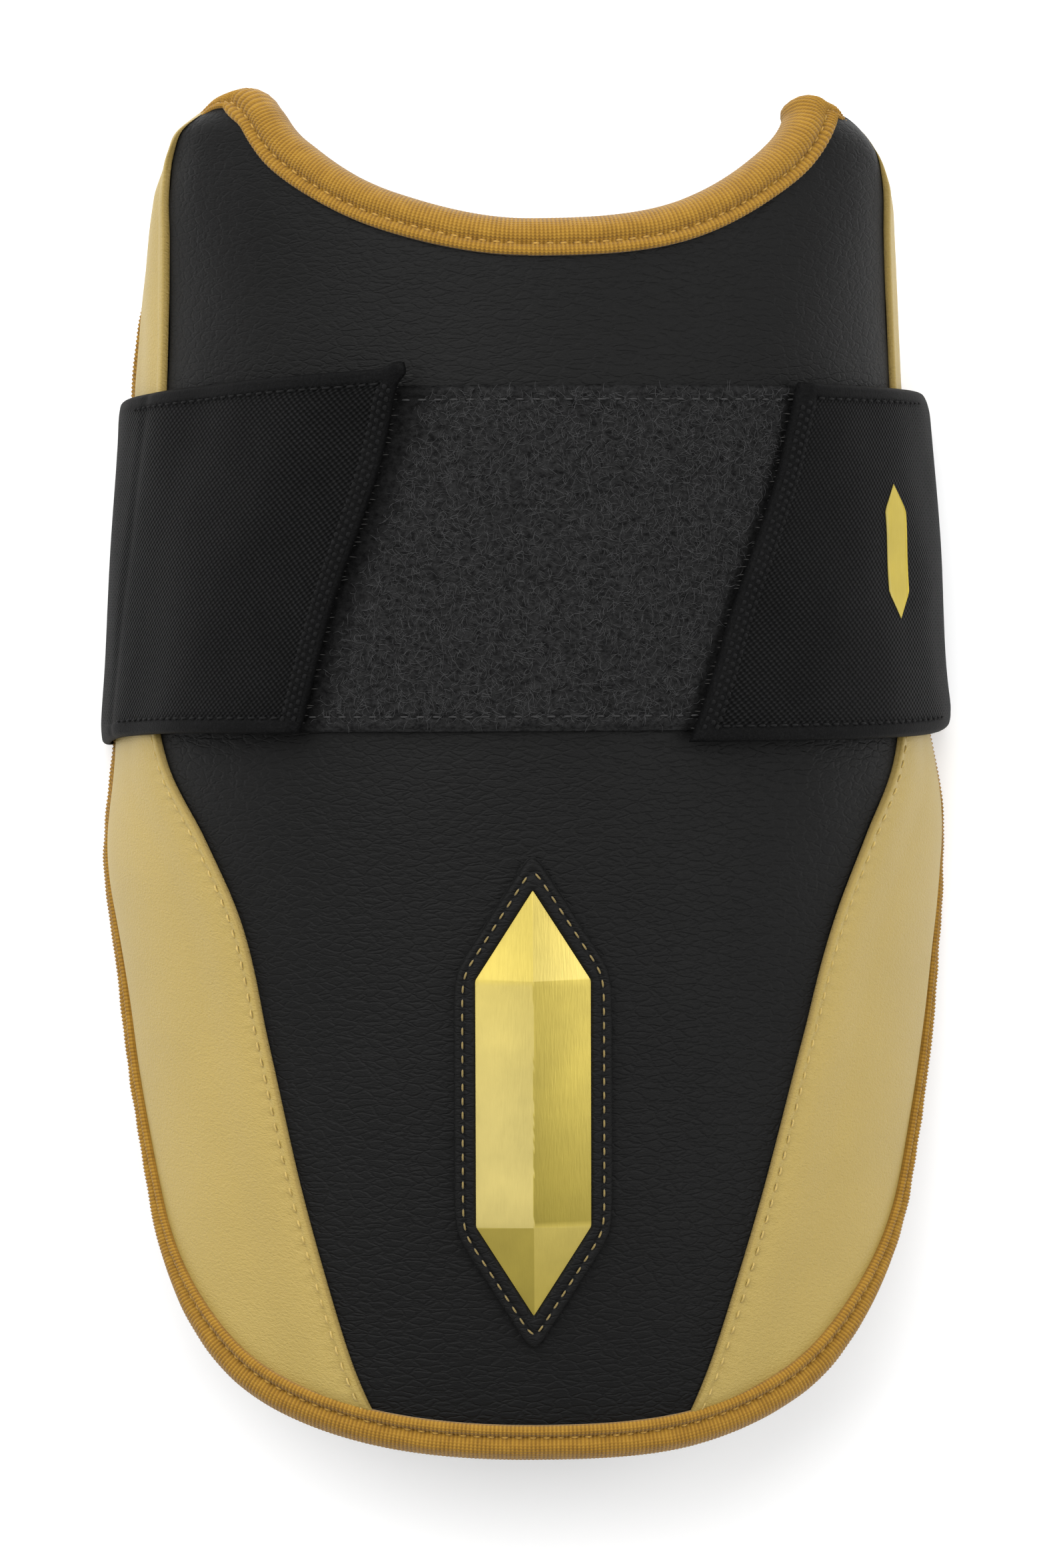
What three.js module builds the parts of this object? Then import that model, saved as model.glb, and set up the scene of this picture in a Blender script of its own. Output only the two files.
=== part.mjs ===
// Elbow guard for a batter: a padded trough over the outside of the elbow, covered by a front panel and
// two side panels, bound round its edge, with a badge and an elastic strap that closes round the arm.
// Millimetres. The guard lies on its open side: +Z is out of its front, +Y runs towards its two horns,
// and the origin is on the floor under the middle of its outline.
import * as THREE from "three";
import { mergeVertices } from "three/addons/utils/BufferGeometryUtils.js";

// Wall thicknesses, and the gap that neighbouring pieces keep.
const GAP = 0.35;
const SKIN = 1.2;
const PAD_THICK = 11;
const PAD_EDGE_THICK = 3.2;
const PAD_RAMP = 26;
const EDGE_ROLL = 1.4;
const EDGE_ROLL_WIDTH = 9;

// The edge binding: a folded tape whose legs lie on the front and the back of the pad's edge.
const TAPE = 0.9;
const TAPE_GAP = 0.5;
const FRONT_LEG = 6.6;
const BACK_LEG = 4.6;
const EDGE_INSET = 1.5;

// The strap, the loop panel under its ends and the hook tabs between them.
const STRAP_THICK = 1.6;
const STRAP_LOW = 6.9;
const STRAP_HIGH = 66.4;
const STRAP_SIDE_LIFT = 2.2;
const STRAP_CORNER = 4;
const LEFT_TIP_RISE = 3.2;
const LOOP_THICK = 1.4;
const LOOP_LOW = 7.4;
const LOOP_HIGH = 66.2;
const LOOP_ANGLE = 52;
const TAB_THICK = 1.0;
const TAB_ANGLE = 15;
const TAB_SHOW = 0.7;

// The badge: an upright bar with pointed ends, a faceted inlay in a flat frame.
const BADGE_Y = -56;
const BADGE_HALF_HEIGHT = 36;
const BADGE_HALF_WIDTH = 9.5;
const BADGE_SHOULDER = 21;
const BADGE_BORDER = 4;
const BADGE_FRAME_THICK = 1.4;
const INLAY_RIM = 0.8;
const INLAY_RIDGE = 2.4;

// Cross-sections of the outer face. Each is an arch: half an ellipse whose feet stand at the horizon.
const SECTIONS = [
  { y: -119, halfWidth: 75.6, crown: 55.0, horizon: 4.0 },
  { y: -104, halfWidth: 74.6, crown: 59.2, horizon: 4.0 },
  { y: -85, halfWidth: 72.0, crown: 63.0, horizon: 4.0 },
  { y: -65, halfWidth: 71.0, crown: 65.5, horizon: 4.0 },
  { y: -40, halfWidth: 71.6, crown: 67.5, horizon: 3.8 },
  { y: -15, halfWidth: 72.8, crown: 69.0, horizon: 3.8 },
  { y: 3, halfWidth: 71.0, crown: 69.6, horizon: 7.2 },
  { y: 36, halfWidth: 68.8, crown: 69.6, horizon: 8.6 },
  { y: 64, halfWidth: 66.3, crown: 68.4, horizon: 9.0 },
  { y: 82, halfWidth: 64.9, crown: 66.8, horizon: 14.0 },
  { y: 99, halfWidth: 63.2, crown: 64.6, horizon: 24.0 },
  { y: 108, halfWidth: 60.0, crown: 63.0, horizon: 30.0 },
  { y: 114, halfWidth: 56.2, crown: 62.0, horizon: 33.0 },
  { y: 120, halfWidth: 50.0, crown: 61.0, horizon: 36.0 },
];

// The right half of the outline, as angles from the crown: neck, horn, side and toe.
const OUTLINE = [
  { angle: 0, y: 94.8 },
  { angle: 21.5, y: 98.9 },
  { angle: 41, y: 109.0 },
  { angle: 53, y: 115.6 },
  { angle: 66, y: 118.8 },
  { angle: 92, y: 113.2 },
  { angle: 105, y: 98 },
  { angle: 99, y: 76 },
  { angle: 95.5, y: 60 },
  { angle: 95.5, y: 30 },
  { angle: 95, y: 4 },
  { angle: 93.5, y: -14 },
  { angle: 86, y: -36 },
  { angle: 77, y: -60 },
  { angle: 67, y: -80 },
  { angle: 54, y: -96 },
  { angle: 40, y: -108.4 },
  { angle: 21.5, y: -116.8 },
  { angle: 0, y: -118.6 },
];

// The seam between the front panel and the right side panel, from the toe to the horn.
const SEAM = [
  { y: -118, angle: 18 },
  { y: -100, angle: 24.8 },
  { y: -72, angle: 34 },
  { y: -46, angle: 40 },
  { y: -25, angle: 45 },
  { y: -11, angle: 51.5 },
  { y: 2, angle: 61.5 },
  { y: 14, angle: 66.5 },
  { y: 40, angle: 70 },
  { y: 70, angle: 71.5 },
  { y: 92, angle: 73 },
  { y: 106, angle: 76 },
  { y: 118, angle: 77 },
];

// Where each strap end is cut, on the strap's low and high edges, as angles from the crown.
const STRAP_ENDS = {
  left: { side: -1, low: 36.8, high: 19.9, tipRise: LEFT_TIP_RISE },
  right: { side: 1, low: 21.4, high: 44.6, tipRise: 0 },
};

// Ribs run from a spine under the crown out to the outline. These are the spine's ends and its share of y.
const SPINE_TOP = 58;
const SPINE_TOE = -72;
const SPINE_SHARE = 0.72;

// How many steps each stretch of the surfaces takes.
const NECK_STEPS = 13;
const SIDE_STEPS = 32;
const TOE_STEPS = 4;
const FRONT_STEPS = 6;
const PANEL_STEPS = 3;
const KNEE = 7;
const BADGE_EDGE_STEPS = 4;

const MATERIALS = {
  lining: { color: 0x1d1d1e, roughness: 0.9 },
  blackLeather: { color: 0x242424, roughness: 0.55 },
  goldLeather: { color: 0xc8b16f, roughness: 0.5 },
  binding: { color: 0xb0832f, roughness: 0.85 },
  loop: { color: 0x2e2e2e, roughness: 1 },
  elastic: { color: 0x1f1f1f, roughness: 0.85 },
  hook: { color: 0x161616, roughness: 0.8 },
  foil: { color: 0xd6bf3c, roughness: 0.25, metalness: 0.8 },
};

// Smooth step from 0 to 1 as x goes from 0 to 1.
function ease(x) {
  return THREE.MathUtils.smoothstep(x, 0, 1);
}

// The value of one column of a table at y, by a cubic through its rows in order of y.
function columnAt(table, column, y) {
  const last = table.length - 2;
  const found = table.findIndex((row) => row.y > y) - 1;
  const i = THREE.MathUtils.clamp(found < -1 ? last : found, 0, last);
  const slope = (k) => {
    const a = table[Math.max(k - 1, 0)];
    const b = table[Math.min(k + 1, table.length - 1)];
    return (b[column] - a[column]) / (b.y - a.y);
  };
  const span = table[i + 1].y - table[i].y;
  const t = (y - table[i].y) / span;
  const start = (1 + 2 * t) * (1 - t) ** 2 * table[i][column] + t * (1 - t) ** 2 * span * slope(i);
  const end = t ** 2 * (3 - 2 * t) * table[i + 1][column] + t ** 2 * (t - 1) * span * slope(i + 1);
  return start + end;
}

// A point of the outer face, at an angle from the crown and a station along the guard.
function archPoint(angle, y) {
  const turn = THREE.MathUtils.degToRad(angle);
  const horizon = columnAt(SECTIONS, "horizon", y);
  const rise = columnAt(SECTIONS, "crown", y) - horizon;
  const reach = columnAt(SECTIONS, "halfWidth", y);
  return new THREE.Vector3(reach * Math.sin(turn), y, horizon + rise * Math.cos(turn));
}

// The same point lifted off the face along its normal.
function facePoint(angle, y, lift) {
  const step = 0.5;
  const across = archPoint(angle + step, y).sub(archPoint(angle - step, y));
  const along = archPoint(angle, y + step).sub(archPoint(angle, y - step));
  return archPoint(angle, y).addScaledVector(across.cross(along).normalize(), lift);
}

// The angle at which the face has a given x.
function angleAt(x, y) {
  return THREE.MathUtils.radToDeg(Math.asin(x / columnAt(SECTIONS, "halfWidth", y)));
}

// The outline as one smooth curve, carried past both ends by its mirror image.
const outlineCurve = new THREE.CatmullRomCurve3(
  [
    { angle: -OUTLINE[1].angle, y: OUTLINE[1].y },
    ...OUTLINE,
    { angle: -OUTLINE.at(-2).angle, y: OUTLINE.at(-2).y },
  ].map((row) => new THREE.Vector3(row.angle, row.y, 0)),
  false,
  "centripetal",
);

// The rib that ends at a share of the outline's length, 0 at the neck and 1 at the toe.
function ribAt(share, side = 1) {
  const knots = OUTLINE.length + 1;
  const end = outlineCurve.getPoint((1 + share * (knots - 2)) / knots);
  const root = THREE.MathUtils.clamp(SPINE_SHARE * end.y, SPINE_TOE, SPINE_TOP);
  const rib = { angle: side * Math.max(end.x, 0), y: end.y, root };
  const near = 0.97;
  rib.length = ribArch(rib, 1).distanceTo(ribArch(rib, near)) / (1 - near);
  rib.rim = 1 - EDGE_INSET / rib.length;
  rib.seam = seamOn(rib);
  rib.front = frontLevels(rib);
  rib.side = sideLevels(rib);
  return rib;
}

// The stations of a rib on the front panel: even steps, then one close to the edge.
function frontLevels(rib) {
  const end = Math.min(rib.seam - GAP / 2 / rib.length, rib.rim);
  const knee = Math.min(end, 1 - KNEE / rib.length);
  const even = Array.from({ length: FRONT_STEPS + 1 }, (_, i) => (knee * i) / FRONT_STEPS);
  return [...even, end];
}

// The stations of a rib on a side panel: even steps from the seam, then one to the rim.
function sideLevels(rib) {
  const start = Math.min(rib.seam + GAP / 2 / rib.length, rib.rim);
  const knee = Math.max(start, 1 - KNEE / rib.length);
  const even = Array.from({ length: PANEL_STEPS + 1 }, (_, i) =>
    THREE.MathUtils.lerp(start, knee, i / PANEL_STEPS),
  );
  return [...even, rib.rim];
}

function ribArch(rib, r) {
  return archPoint(r * rib.angle, THREE.MathUtils.lerp(rib.root, rib.y, r));
}

// How far along a rib the seam crosses it, or 1 where it doesn't.
function seamOn(rib) {
  const past = (r) => {
    const y = THREE.MathUtils.lerp(rib.root, rib.y, r);
    return r * Math.abs(rib.angle) - columnAt(SEAM, "angle", y);
  };
  if (past(1) <= 0) return 1;
  let [low, high] = [0, 1];
  for (let i = 0; i < 30; i++) {
    const middle = (low + high) / 2;
    if (past(middle) > 0) high = middle;
    else low = middle;
  }
  return high;
}

// A point on a rib, lifted off the face, which rolls down a little towards the edge.
function ribPoint(rib, r, lift) {
  const inset = (1 - r) * rib.length;
  const roll = EDGE_ROLL * (1 - ease(inset / EDGE_ROLL_WIDTH));
  return facePoint(r * rib.angle, THREE.MathUtils.lerp(rib.root, rib.y, r), lift - roll);
}

// The pad's depth below the face at an inset from the edge, with the skin and gap above it.
function padDepth(inset) {
  const thick = THREE.MathUtils.lerp(PAD_EDGE_THICK, PAD_THICK, ease(inset / PAD_RAMP));
  return SKIN + GAP + thick;
}

// The share of the outline at which the seam's end meets the rim, between two shares that bracket it.
function seamEnd(outside, inside) {
  for (let i = 0; i < 40; i++) {
    const middle = (outside + inside) / 2;
    const rib = ribAt(middle);
    if (rib.seam < rib.rim) inside = middle;
    else outside = middle;
  }
  return inside;
}

const MID_SIDE = 0.5;
const hornShare = seamEnd(0, MID_SIDE);
const toeShare = seamEnd(1, MID_SIDE);

// Shares of the right half of the outline: even steps on neck and toe, closer towards the side's ends.
const shares = [];
for (let i = 0; i < NECK_STEPS; i++) {
  shares.push((hornShare * i) / NECK_STEPS);
}
for (let i = 0; i < SIDE_STEPS; i++) {
  const eased = (1 - Math.cos((Math.PI * i) / SIDE_STEPS)) / 2;
  shares.push(THREE.MathUtils.lerp(hornShare, toeShare, eased));
}
for (let i = 0; i <= TOE_STEPS; i++) {
  shares.push(THREE.MathUtils.lerp(toeShare, 1, i / TOE_STEPS));
}
const rightRibs = shares.map((share) => ribAt(share));
const leftRibs = shares.map((share) => ribAt(share, -1));
const allRibs = [...rightRibs, ...leftRibs.slice(1, -1).reverse()];

// A mesh's geometry from a list of triangles of points, with shared vertices merged and faces pointing out.
function solidOf(triangles) {
  const geometry = new THREE.BufferGeometry().setFromPoints(triangles.flat());
  const merged = mergeVertices(geometry, 1e-3);
  const index = [...merged.index.array];
  const kept = [];
  let volume = 0;
  const [a, b, c] = [new THREE.Vector3(), new THREE.Vector3(), new THREE.Vector3()];
  for (let i = 0; i < index.length; i += 3) {
    const [p, q, r] = index.slice(i, i + 3);
    if (p === q || q === r || r === p) continue;
    kept.push([p, q, r]);
    a.fromBufferAttribute(merged.attributes.position, p);
    b.fromBufferAttribute(merged.attributes.position, q);
    c.fromBufferAttribute(merged.attributes.position, r);
    volume += a.dot(b.cross(c));
  }
  const turned = volume < 0 ? kept.map(([p, q, r]) => [p, r, q]) : kept;
  merged.setIndex(turned.flat());
  merged.computeVertexNormals();
  return merged;
}

// Two triangles for a quad, split along its shorter diagonal.
function quad(a, b, c, d) {
  if (b.distanceTo(d) < a.distanceTo(c) - 1e-4) {
    return [
      [a, b, d],
      [b, c, d],
    ];
  }
  return [
    [a, b, c],
    [a, c, d],
  ];
}

// A closed wall between two grids of points. A closed grid joins its last row to its first, and a
// filled one has a first column that closes on itself, so it has no rim there.
function wall({ rows, columns, outer, inner, closed = false, filled = false }) {
  const top = Array.from({ length: rows }, (_, i) => Array.from({ length: columns }, (_, j) => outer(i, j)));
  const low = Array.from({ length: rows }, (_, i) => Array.from({ length: columns }, (_, j) => inner(i, j)));
  const faces = [];
  const rim = (i, j, k, l) => faces.push(...quad(top[i][j], top[k][l], low[k][l], low[i][j]));
  for (let i = 0; i < rows - (closed ? 0 : 1); i++) {
    const next = (i + 1) % rows;
    for (let j = 0; j < columns - 1; j++) {
      faces.push(...quad(top[i][j], top[next][j], top[next][j + 1], top[i][j + 1]));
      faces.push(...quad(low[i][j], low[i][j + 1], low[next][j + 1], low[next][j]));
    }
    rim(i, columns - 1, next, columns - 1);
    if (!filled) rim(next, 0, i, 0);
  }
  for (let j = 0; j < columns - 1 && !closed; j++) {
    rim(0, j, 0, j + 1);
    rim(rows - 1, j + 1, rows - 1, j);
  }
  return solidOf(faces);
}

// A closed tube: one closed profile of points for each station of a closed loop.
function loopTube(profiles) {
  const faces = [];
  profiles.forEach((profile, i) => {
    const next = profiles[(i + 1) % profiles.length];
    profile.forEach((point, j) => {
      const k = (j + 1) % profile.length;
      faces.push(...quad(point, next[j], next[k], profile[k]));
    });
  });
  return solidOf(faces);
}

// The foam pad with its plain inner face: thick in the middle, thin where it goes into the binding.
function padBody() {
  const levels = allRibs.map((rib) => [...rib.front, ...rib.side.slice(1)]);
  return wall({
    rows: allRibs.length,
    columns: levels[0].length,
    closed: true,
    filled: true,
    outer: (i, j) => ribPoint(allRibs[i], levels[i][j], -SKIN - GAP),
    inner: (i, j) => ribPoint(allRibs[i], levels[i][j], -padDepth((1 - levels[i][j]) * allRibs[i].length)),
  });
}

// The front panel: from horn to horn at the top, narrowing between its two seams to the toe.
function frontPanel() {
  return wall({
    rows: allRibs.length,
    columns: allRibs[0].front.length,
    closed: true,
    filled: true,
    outer: (i, j) => ribPoint(allRibs[i], allRibs[i].front[j], 0),
    inner: (i, j) => ribPoint(allRibs[i], allRibs[i].front[j], -SKIN),
  });
}

// A side panel: the band between the seam and the rim, pointed at the horn and at the toe.
function sidePanel(ribs) {
  const rows = ribs.slice(NECK_STEPS + 1, NECK_STEPS + SIDE_STEPS);
  return wall({
    rows: rows.length,
    columns: rows[0].side.length,
    outer: (i, j) => ribPoint(rows[i], rows[i].side[j], 0),
    inner: (i, j) => ribPoint(rows[i], rows[i].side[j], -SKIN),
  });
}

// The binding: a channel round the whole edge, with its legs on the leather and on the pad's inner face.
function edgeBinding() {
  const channel = EDGE_INSET - TAPE_GAP;
  const nose = 0.6;
  const bend = 2.4;
  const depth = padDepth(EDGE_INSET);
  const outside = TAPE_GAP + TAPE;
  const section = [
    { inset: FRONT_LEG, lift: TAPE_GAP },
    { inset: FRONT_LEG, lift: outside },
    { inset: bend, lift: outside },
    { inset: nose, lift: -nose },
    { inset: 0, lift: -depth / 2 },
    { inset: nose, lift: nose - depth },
    { inset: bend, lift: -padDepth(bend) - outside },
    { inset: BACK_LEG, lift: -padDepth(BACK_LEG) - outside },
    { inset: BACK_LEG, lift: -padDepth(BACK_LEG) - TAPE_GAP },
    { inset: channel, lift: -padDepth(channel) - TAPE_GAP },
    { inset: channel, lift: TAPE_GAP },
  ];
  return loopTube(
    allRibs.map((rib) => section.map(({ inset, lift }) => ribPoint(rib, 1 - inset / rib.length, lift))),
  );
}

// The loop panel: a strip sewn across the front, on which both strap ends catch.
function loopPanel() {
  const [rows, columns] = [15, 5];
  const place = (i, j, lift) => {
    const angle = THREE.MathUtils.lerp(-LOOP_ANGLE, LOOP_ANGLE, i / (rows - 1));
    return facePoint(angle, THREE.MathUtils.lerp(LOOP_LOW, LOOP_HIGH, j / (columns - 1)), lift);
  };
  return wall({
    rows,
    columns,
    outer: (i, j) => place(i, j, GAP + LOOP_THICK),
    inner: (i, j) => place(i, j, GAP),
  });
}

const TAB_LIFT = 2 * GAP + LOOP_THICK;
const STRAP_END_LIFT = TAB_LIFT + TAB_THICK + GAP;
const STRAP_RAMP = 24;

// The strap's station along the guard, at a share of its width and an angle; the left tip rises.
function strapY(end, share, angle) {
  const tip = 1 - ease((angle - end.high) / STRAP_RAMP);
  return THREE.MathUtils.lerp(STRAP_LOW, STRAP_HIGH + end.tipRise * tip, share);
}

// A hook tab under a strap end: a slanted strip that shows a little past the cut.
function hookTab(end) {
  const [rows, columns] = [4, 6];
  const show = angleAt(TAB_SHOW, STRAP_LOW);
  const inner = 0.02;
  const place = (i, j, lift) => {
    const share = THREE.MathUtils.lerp(inner, 1 - inner, j / (columns - 1));
    const cut = THREE.MathUtils.lerp(end.low, end.high, share);
    const angle = cut - show + (TAB_ANGLE * i) / (rows - 1);
    return facePoint(end.side * angle, strapY(end, share, angle), lift);
  };
  return wall({
    rows,
    columns,
    outer: (i, j) => place(i, j, TAB_LIFT + TAB_THICK),
    inner: (i, j) => place(i, j, TAB_LIFT),
  });
}

// One half of the strap, from its cut end over the front and down the side to the middle of the back.
// It returns a row of points across the strap for each station, at a lift from the strap's inner face.
function strapHalf(end, columns, outward) {
  const archSteps = 13;
  const cornerSteps = 4;
  const backSteps = 4;
  const over = outward ? STRAP_THICK : 0;
  const across = (at) => Array.from({ length: columns }, (_, j) => at(j / (columns - 1)));
  const rows = [];
  for (let i = 0; i <= archSteps; i++) {
    rows.push(
      across((share) => {
        const cut = THREE.MathUtils.lerp(end.low, end.high, share);
        const angle = THREE.MathUtils.lerp(cut, 90, i / archSteps);
        const settle = ease((angle - cut - TAB_ANGLE) / STRAP_RAMP);
        const lift = THREE.MathUtils.lerp(STRAP_END_LIFT, STRAP_SIDE_LIFT, settle);
        return facePoint(end.side * angle, strapY(end, share, angle), lift + over);
      }),
    );
  }
  const cornerX = (y) => columnAt(SECTIONS, "halfWidth", y) + STRAP_SIDE_LIFT - STRAP_CORNER;
  const cornerZ = STRAP_THICK + STRAP_CORNER;
  const radius = STRAP_CORNER + over;
  for (let i = 0; i <= cornerSteps; i++) {
    const turn = (Math.PI / 2) * (i / cornerSteps);
    rows.push(
      across((share) => {
        const y = strapY(end, share, 90);
        const x = cornerX(y) + radius * Math.cos(turn);
        return new THREE.Vector3(end.side * x, y, cornerZ - radius * Math.sin(turn));
      }),
    );
  }
  for (let i = 1; i <= backSteps; i++) {
    rows.push(
      across((share) => {
        const y = strapY(end, share, 90);
        const x = cornerX(y) * (1 - i / backSteps);
        return new THREE.Vector3(end.side * x, y, STRAP_THICK - over);
      }),
    );
  }
  return rows;
}

// The strap: one elastic band from its left end, round the back, to its right end.
function strap() {
  const columns = 5;
  const whole = (outward) => {
    const left = strapHalf(STRAP_ENDS.left, columns, outward);
    const right = strapHalf(STRAP_ENDS.right, columns, outward);
    return [...left, ...right.slice(0, -1).reverse()];
  };
  const [outer, inner] = [whole(true), whole(false)];
  return wall({
    rows: outer.length,
    columns,
    outer: (i, j) => outer[i][j],
    inner: (i, j) => inner[i][j],
  });
}

// The badge's outline grown by a border, as a closed list of points about its middle.
function badgeOutline(border) {
  const slope = Math.hypot(BADGE_HALF_WIDTH, BADGE_HALF_HEIGHT - BADGE_SHOULDER);
  const tip = BADGE_HALF_HEIGHT + (border * slope) / BADGE_HALF_WIDTH;
  const side = BADGE_HALF_WIDTH + border;
  const drop = (BADGE_HALF_HEIGHT - BADGE_SHOULDER) / BADGE_HALF_WIDTH;
  const shoulder = tip - side * drop;
  const corners = [
    [0, tip],
    [side, shoulder],
    [side, -shoulder],
    [0, -tip],
    [-side, -shoulder],
    [-side, shoulder],
  ];
  return corners.flatMap((corner, i) => {
    const next = corners[(i + 1) % corners.length];
    return Array.from({ length: BADGE_EDGE_STEPS }, (_, k) =>
      corner.map((start, axis) => THREE.MathUtils.lerp(start, next[axis], k / BADGE_EDGE_STEPS)),
    );
  });
}

function badgePoint([x, dy], lift) {
  const y = BADGE_Y + dy;
  return facePoint(angleAt(x, y), y, lift);
}

// The badge's frame: a flat border of leather round the inlay.
function badgeFrame() {
  const loops = [badgeOutline(GAP), badgeOutline(BADGE_BORDER)];
  return wall({
    rows: loops[0].length,
    columns: loops.length,
    closed: true,
    outer: (i, j) => badgePoint(loops[j][i], GAP + BADGE_FRAME_THICK),
    inner: (i, j) => badgePoint(loops[j][i], GAP),
  });
}

// The badge's inlay: facets that rise from a rim to a ridge down the middle.
function badgeInlay() {
  const loop = badgeOutline(0);
  const ridge = loop.map(([, y]) => [0, THREE.MathUtils.clamp(y, -BADGE_SHOULDER, BADGE_SHOULDER)]);
  const rings = [ridge, loop];
  const tops = [INLAY_RIDGE, INLAY_RIM];
  return wall({
    rows: loop.length,
    columns: rings.length,
    closed: true,
    filled: true,
    outer: (i, j) => badgePoint(rings[j][i], GAP + tops[j]),
    inner: (i, j) => badgePoint(rings[j][i], GAP),
  });
}

function piece(name, geometry, look) {
  const mesh = new THREE.Mesh(geometry, new THREE.MeshStandardMaterial(look));
  mesh.name = name;
  return mesh;
}

const guard = new THREE.Group();
guard.add(
  piece("pad_body", padBody(), MATERIALS.lining),
  piece("front_panel", frontPanel(), MATERIALS.blackLeather),
  piece("side_panel_right", sidePanel(rightRibs), MATERIALS.goldLeather),
  piece("side_panel_left", sidePanel(leftRibs), MATERIALS.goldLeather),
  piece("edge_binding", edgeBinding(), MATERIALS.binding),
  piece("loop_panel", loopPanel(), MATERIALS.loop),
  piece("hook_tab_left", hookTab(STRAP_ENDS.left), MATERIALS.hook),
  piece("hook_tab_right", hookTab(STRAP_ENDS.right), MATERIALS.hook),
  piece("strap", strap(), MATERIALS.elastic),
  piece("badge_frame", badgeFrame(), MATERIALS.blackLeather),
  piece("badge_inlay", badgeInlay(), MATERIALS.foil),
);

export default guard;
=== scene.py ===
"""Elbow guard: a moulded pad in leather, with a rib-knit binding, an elastic strap and a foil badge.

The guard lies on its open back on the floor (z = 0) with its neck toward +Y and its crown toward +Z.
Shape functions work in millimetres; meshes are made in metres. The shell is an arch whose points are
named by an angle round it (0 on the crown, positive toward +X) and a height y along it.
"""

import math
from dataclasses import dataclass, field

import bmesh
import bpy
import numpy as np
from bpy.props import FloatProperty, FloatVectorProperty, IntProperty, PointerProperty
from mathutils import Matrix, Vector


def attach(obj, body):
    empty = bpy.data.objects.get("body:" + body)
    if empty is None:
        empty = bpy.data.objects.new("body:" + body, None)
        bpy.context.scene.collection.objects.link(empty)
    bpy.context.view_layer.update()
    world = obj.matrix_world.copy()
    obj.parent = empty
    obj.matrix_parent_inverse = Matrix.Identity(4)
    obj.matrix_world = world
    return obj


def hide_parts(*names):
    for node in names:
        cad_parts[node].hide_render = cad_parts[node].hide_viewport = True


bl_info = {
    "name": "Elbow Guard",
    "version": (1, 0, 0),
    "blender": (4, 5, 0),
    "location": "3D View > Sidebar > Elbow Guard",
    "description": "Builds an elbow guard with leather panels, a knit binding, a strap and a badge",
    "category": "Add Mesh",
}

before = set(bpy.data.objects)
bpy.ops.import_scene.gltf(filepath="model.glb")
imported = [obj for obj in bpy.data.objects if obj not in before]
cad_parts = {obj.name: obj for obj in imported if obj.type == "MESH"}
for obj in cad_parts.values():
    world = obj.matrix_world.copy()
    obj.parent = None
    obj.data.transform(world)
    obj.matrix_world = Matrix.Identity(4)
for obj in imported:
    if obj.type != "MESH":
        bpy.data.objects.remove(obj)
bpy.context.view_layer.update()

MM = 0.001

# The guard's two sides, and the column that each has in the tables of widths and angles.
LEFT, RIGHT = -1, 1
SIDE_COLUMN = {LEFT: 1, RIGHT: 2}
SIDE_NAME = {LEFT: "left", RIGHT: "right"}

# The shell's cross sections: y, half width, crown height, height of the widest line.
SECTIONS = np.array(
    [
        (-119, 75.6, 55, 4),
        (-104, 74.6, 59.2, 4),
        (-85, 72, 63, 4),
        (-65, 71, 65.5, 4),
        (-40, 71.6, 67.5, 3.8),
        (-15, 72.8, 69, 3.8),
        (3, 71, 69.6, 7.2),
        (36, 68.8, 69.6, 8.6),
        (64, 66.3, 68.4, 9),
        (82, 64.9, 66.8, 14),
        (99, 63.2, 64.6, 24),
        (108, 60, 63, 30),
        (114, 56.2, 62, 33),
        (120, 50, 61, 36),
    ],
    dtype=float,
)
HALF_WIDTH, CROWN, HORIZON = 1, 2, 3

# How far the left and the right side of the shell swell out: y, left, right.
SWELL = np.array(
    [
        (-120, 0, 0),
        (-98, -0.6, 0),
        (-86, -1.4, -0.6),
        (-75, -1.9, -0.2),
        (-63, -1.4, 0.1),
        (-52, -1.0, 0.5),
        (-40, -0.9, 0.7),
        (-28, -0.4, 0.7),
        (-16, 0.4, 1.0),
        (-5, 0.6, 1.7),
        (3, 0.75, 1.2),
        (10, 0.8, 0.2),
        (20, 0.7, -0.2),
        (40, 1.0, 0.4),
        (58, 1.3, 0.6),
        (68, 1.9, 0.6),
        (82, 1.5, 0.6),
        (94, 0.9, 0.5),
        (102, 0.8, 1.1),
        (107, 1.5, 2.1),
        (111.5, 3.0, 2.0),
        (116, 1.8, 0.8),
        (120, 0.6, 0.2),
    ],
    dtype=float,
)

# The outer edge on each side, from the neck to the toe: left angle, left y, right angle, right y.
OUTLINE = np.array(
    [
        (0, 95.2, 0, 95.2),
        (21.5, 99.7, 21.9, 97.2),
        (41, 109, 43.6, 106.7),
        (53, 115.6, 56.6, 113.9),
        (66, 118.8, 63.2, 117),
        (92, 113.2, 88.5, 111.7),
        (105, 98, 105, 98),
        (94, 76, 99, 76),
        (94.5, 60, 95.5, 60),
        (95.5, 30, 95.5, 30),
        (95, 4, 95, 4),
        (93.5, -14, 93.5, -14),
        (86, -36, 86, -36),
        (77, -60, 77, -60),
        (67, -80, 66.6, -80),
        (54, -96, 52.6, -96),
        (40, -108.2, 38.8, -108.4),
        (21.5, -116.1, 21.2, -116.7),
        (0, -118.6, 0, -118.6),
    ],
    dtype=float,
)

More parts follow.
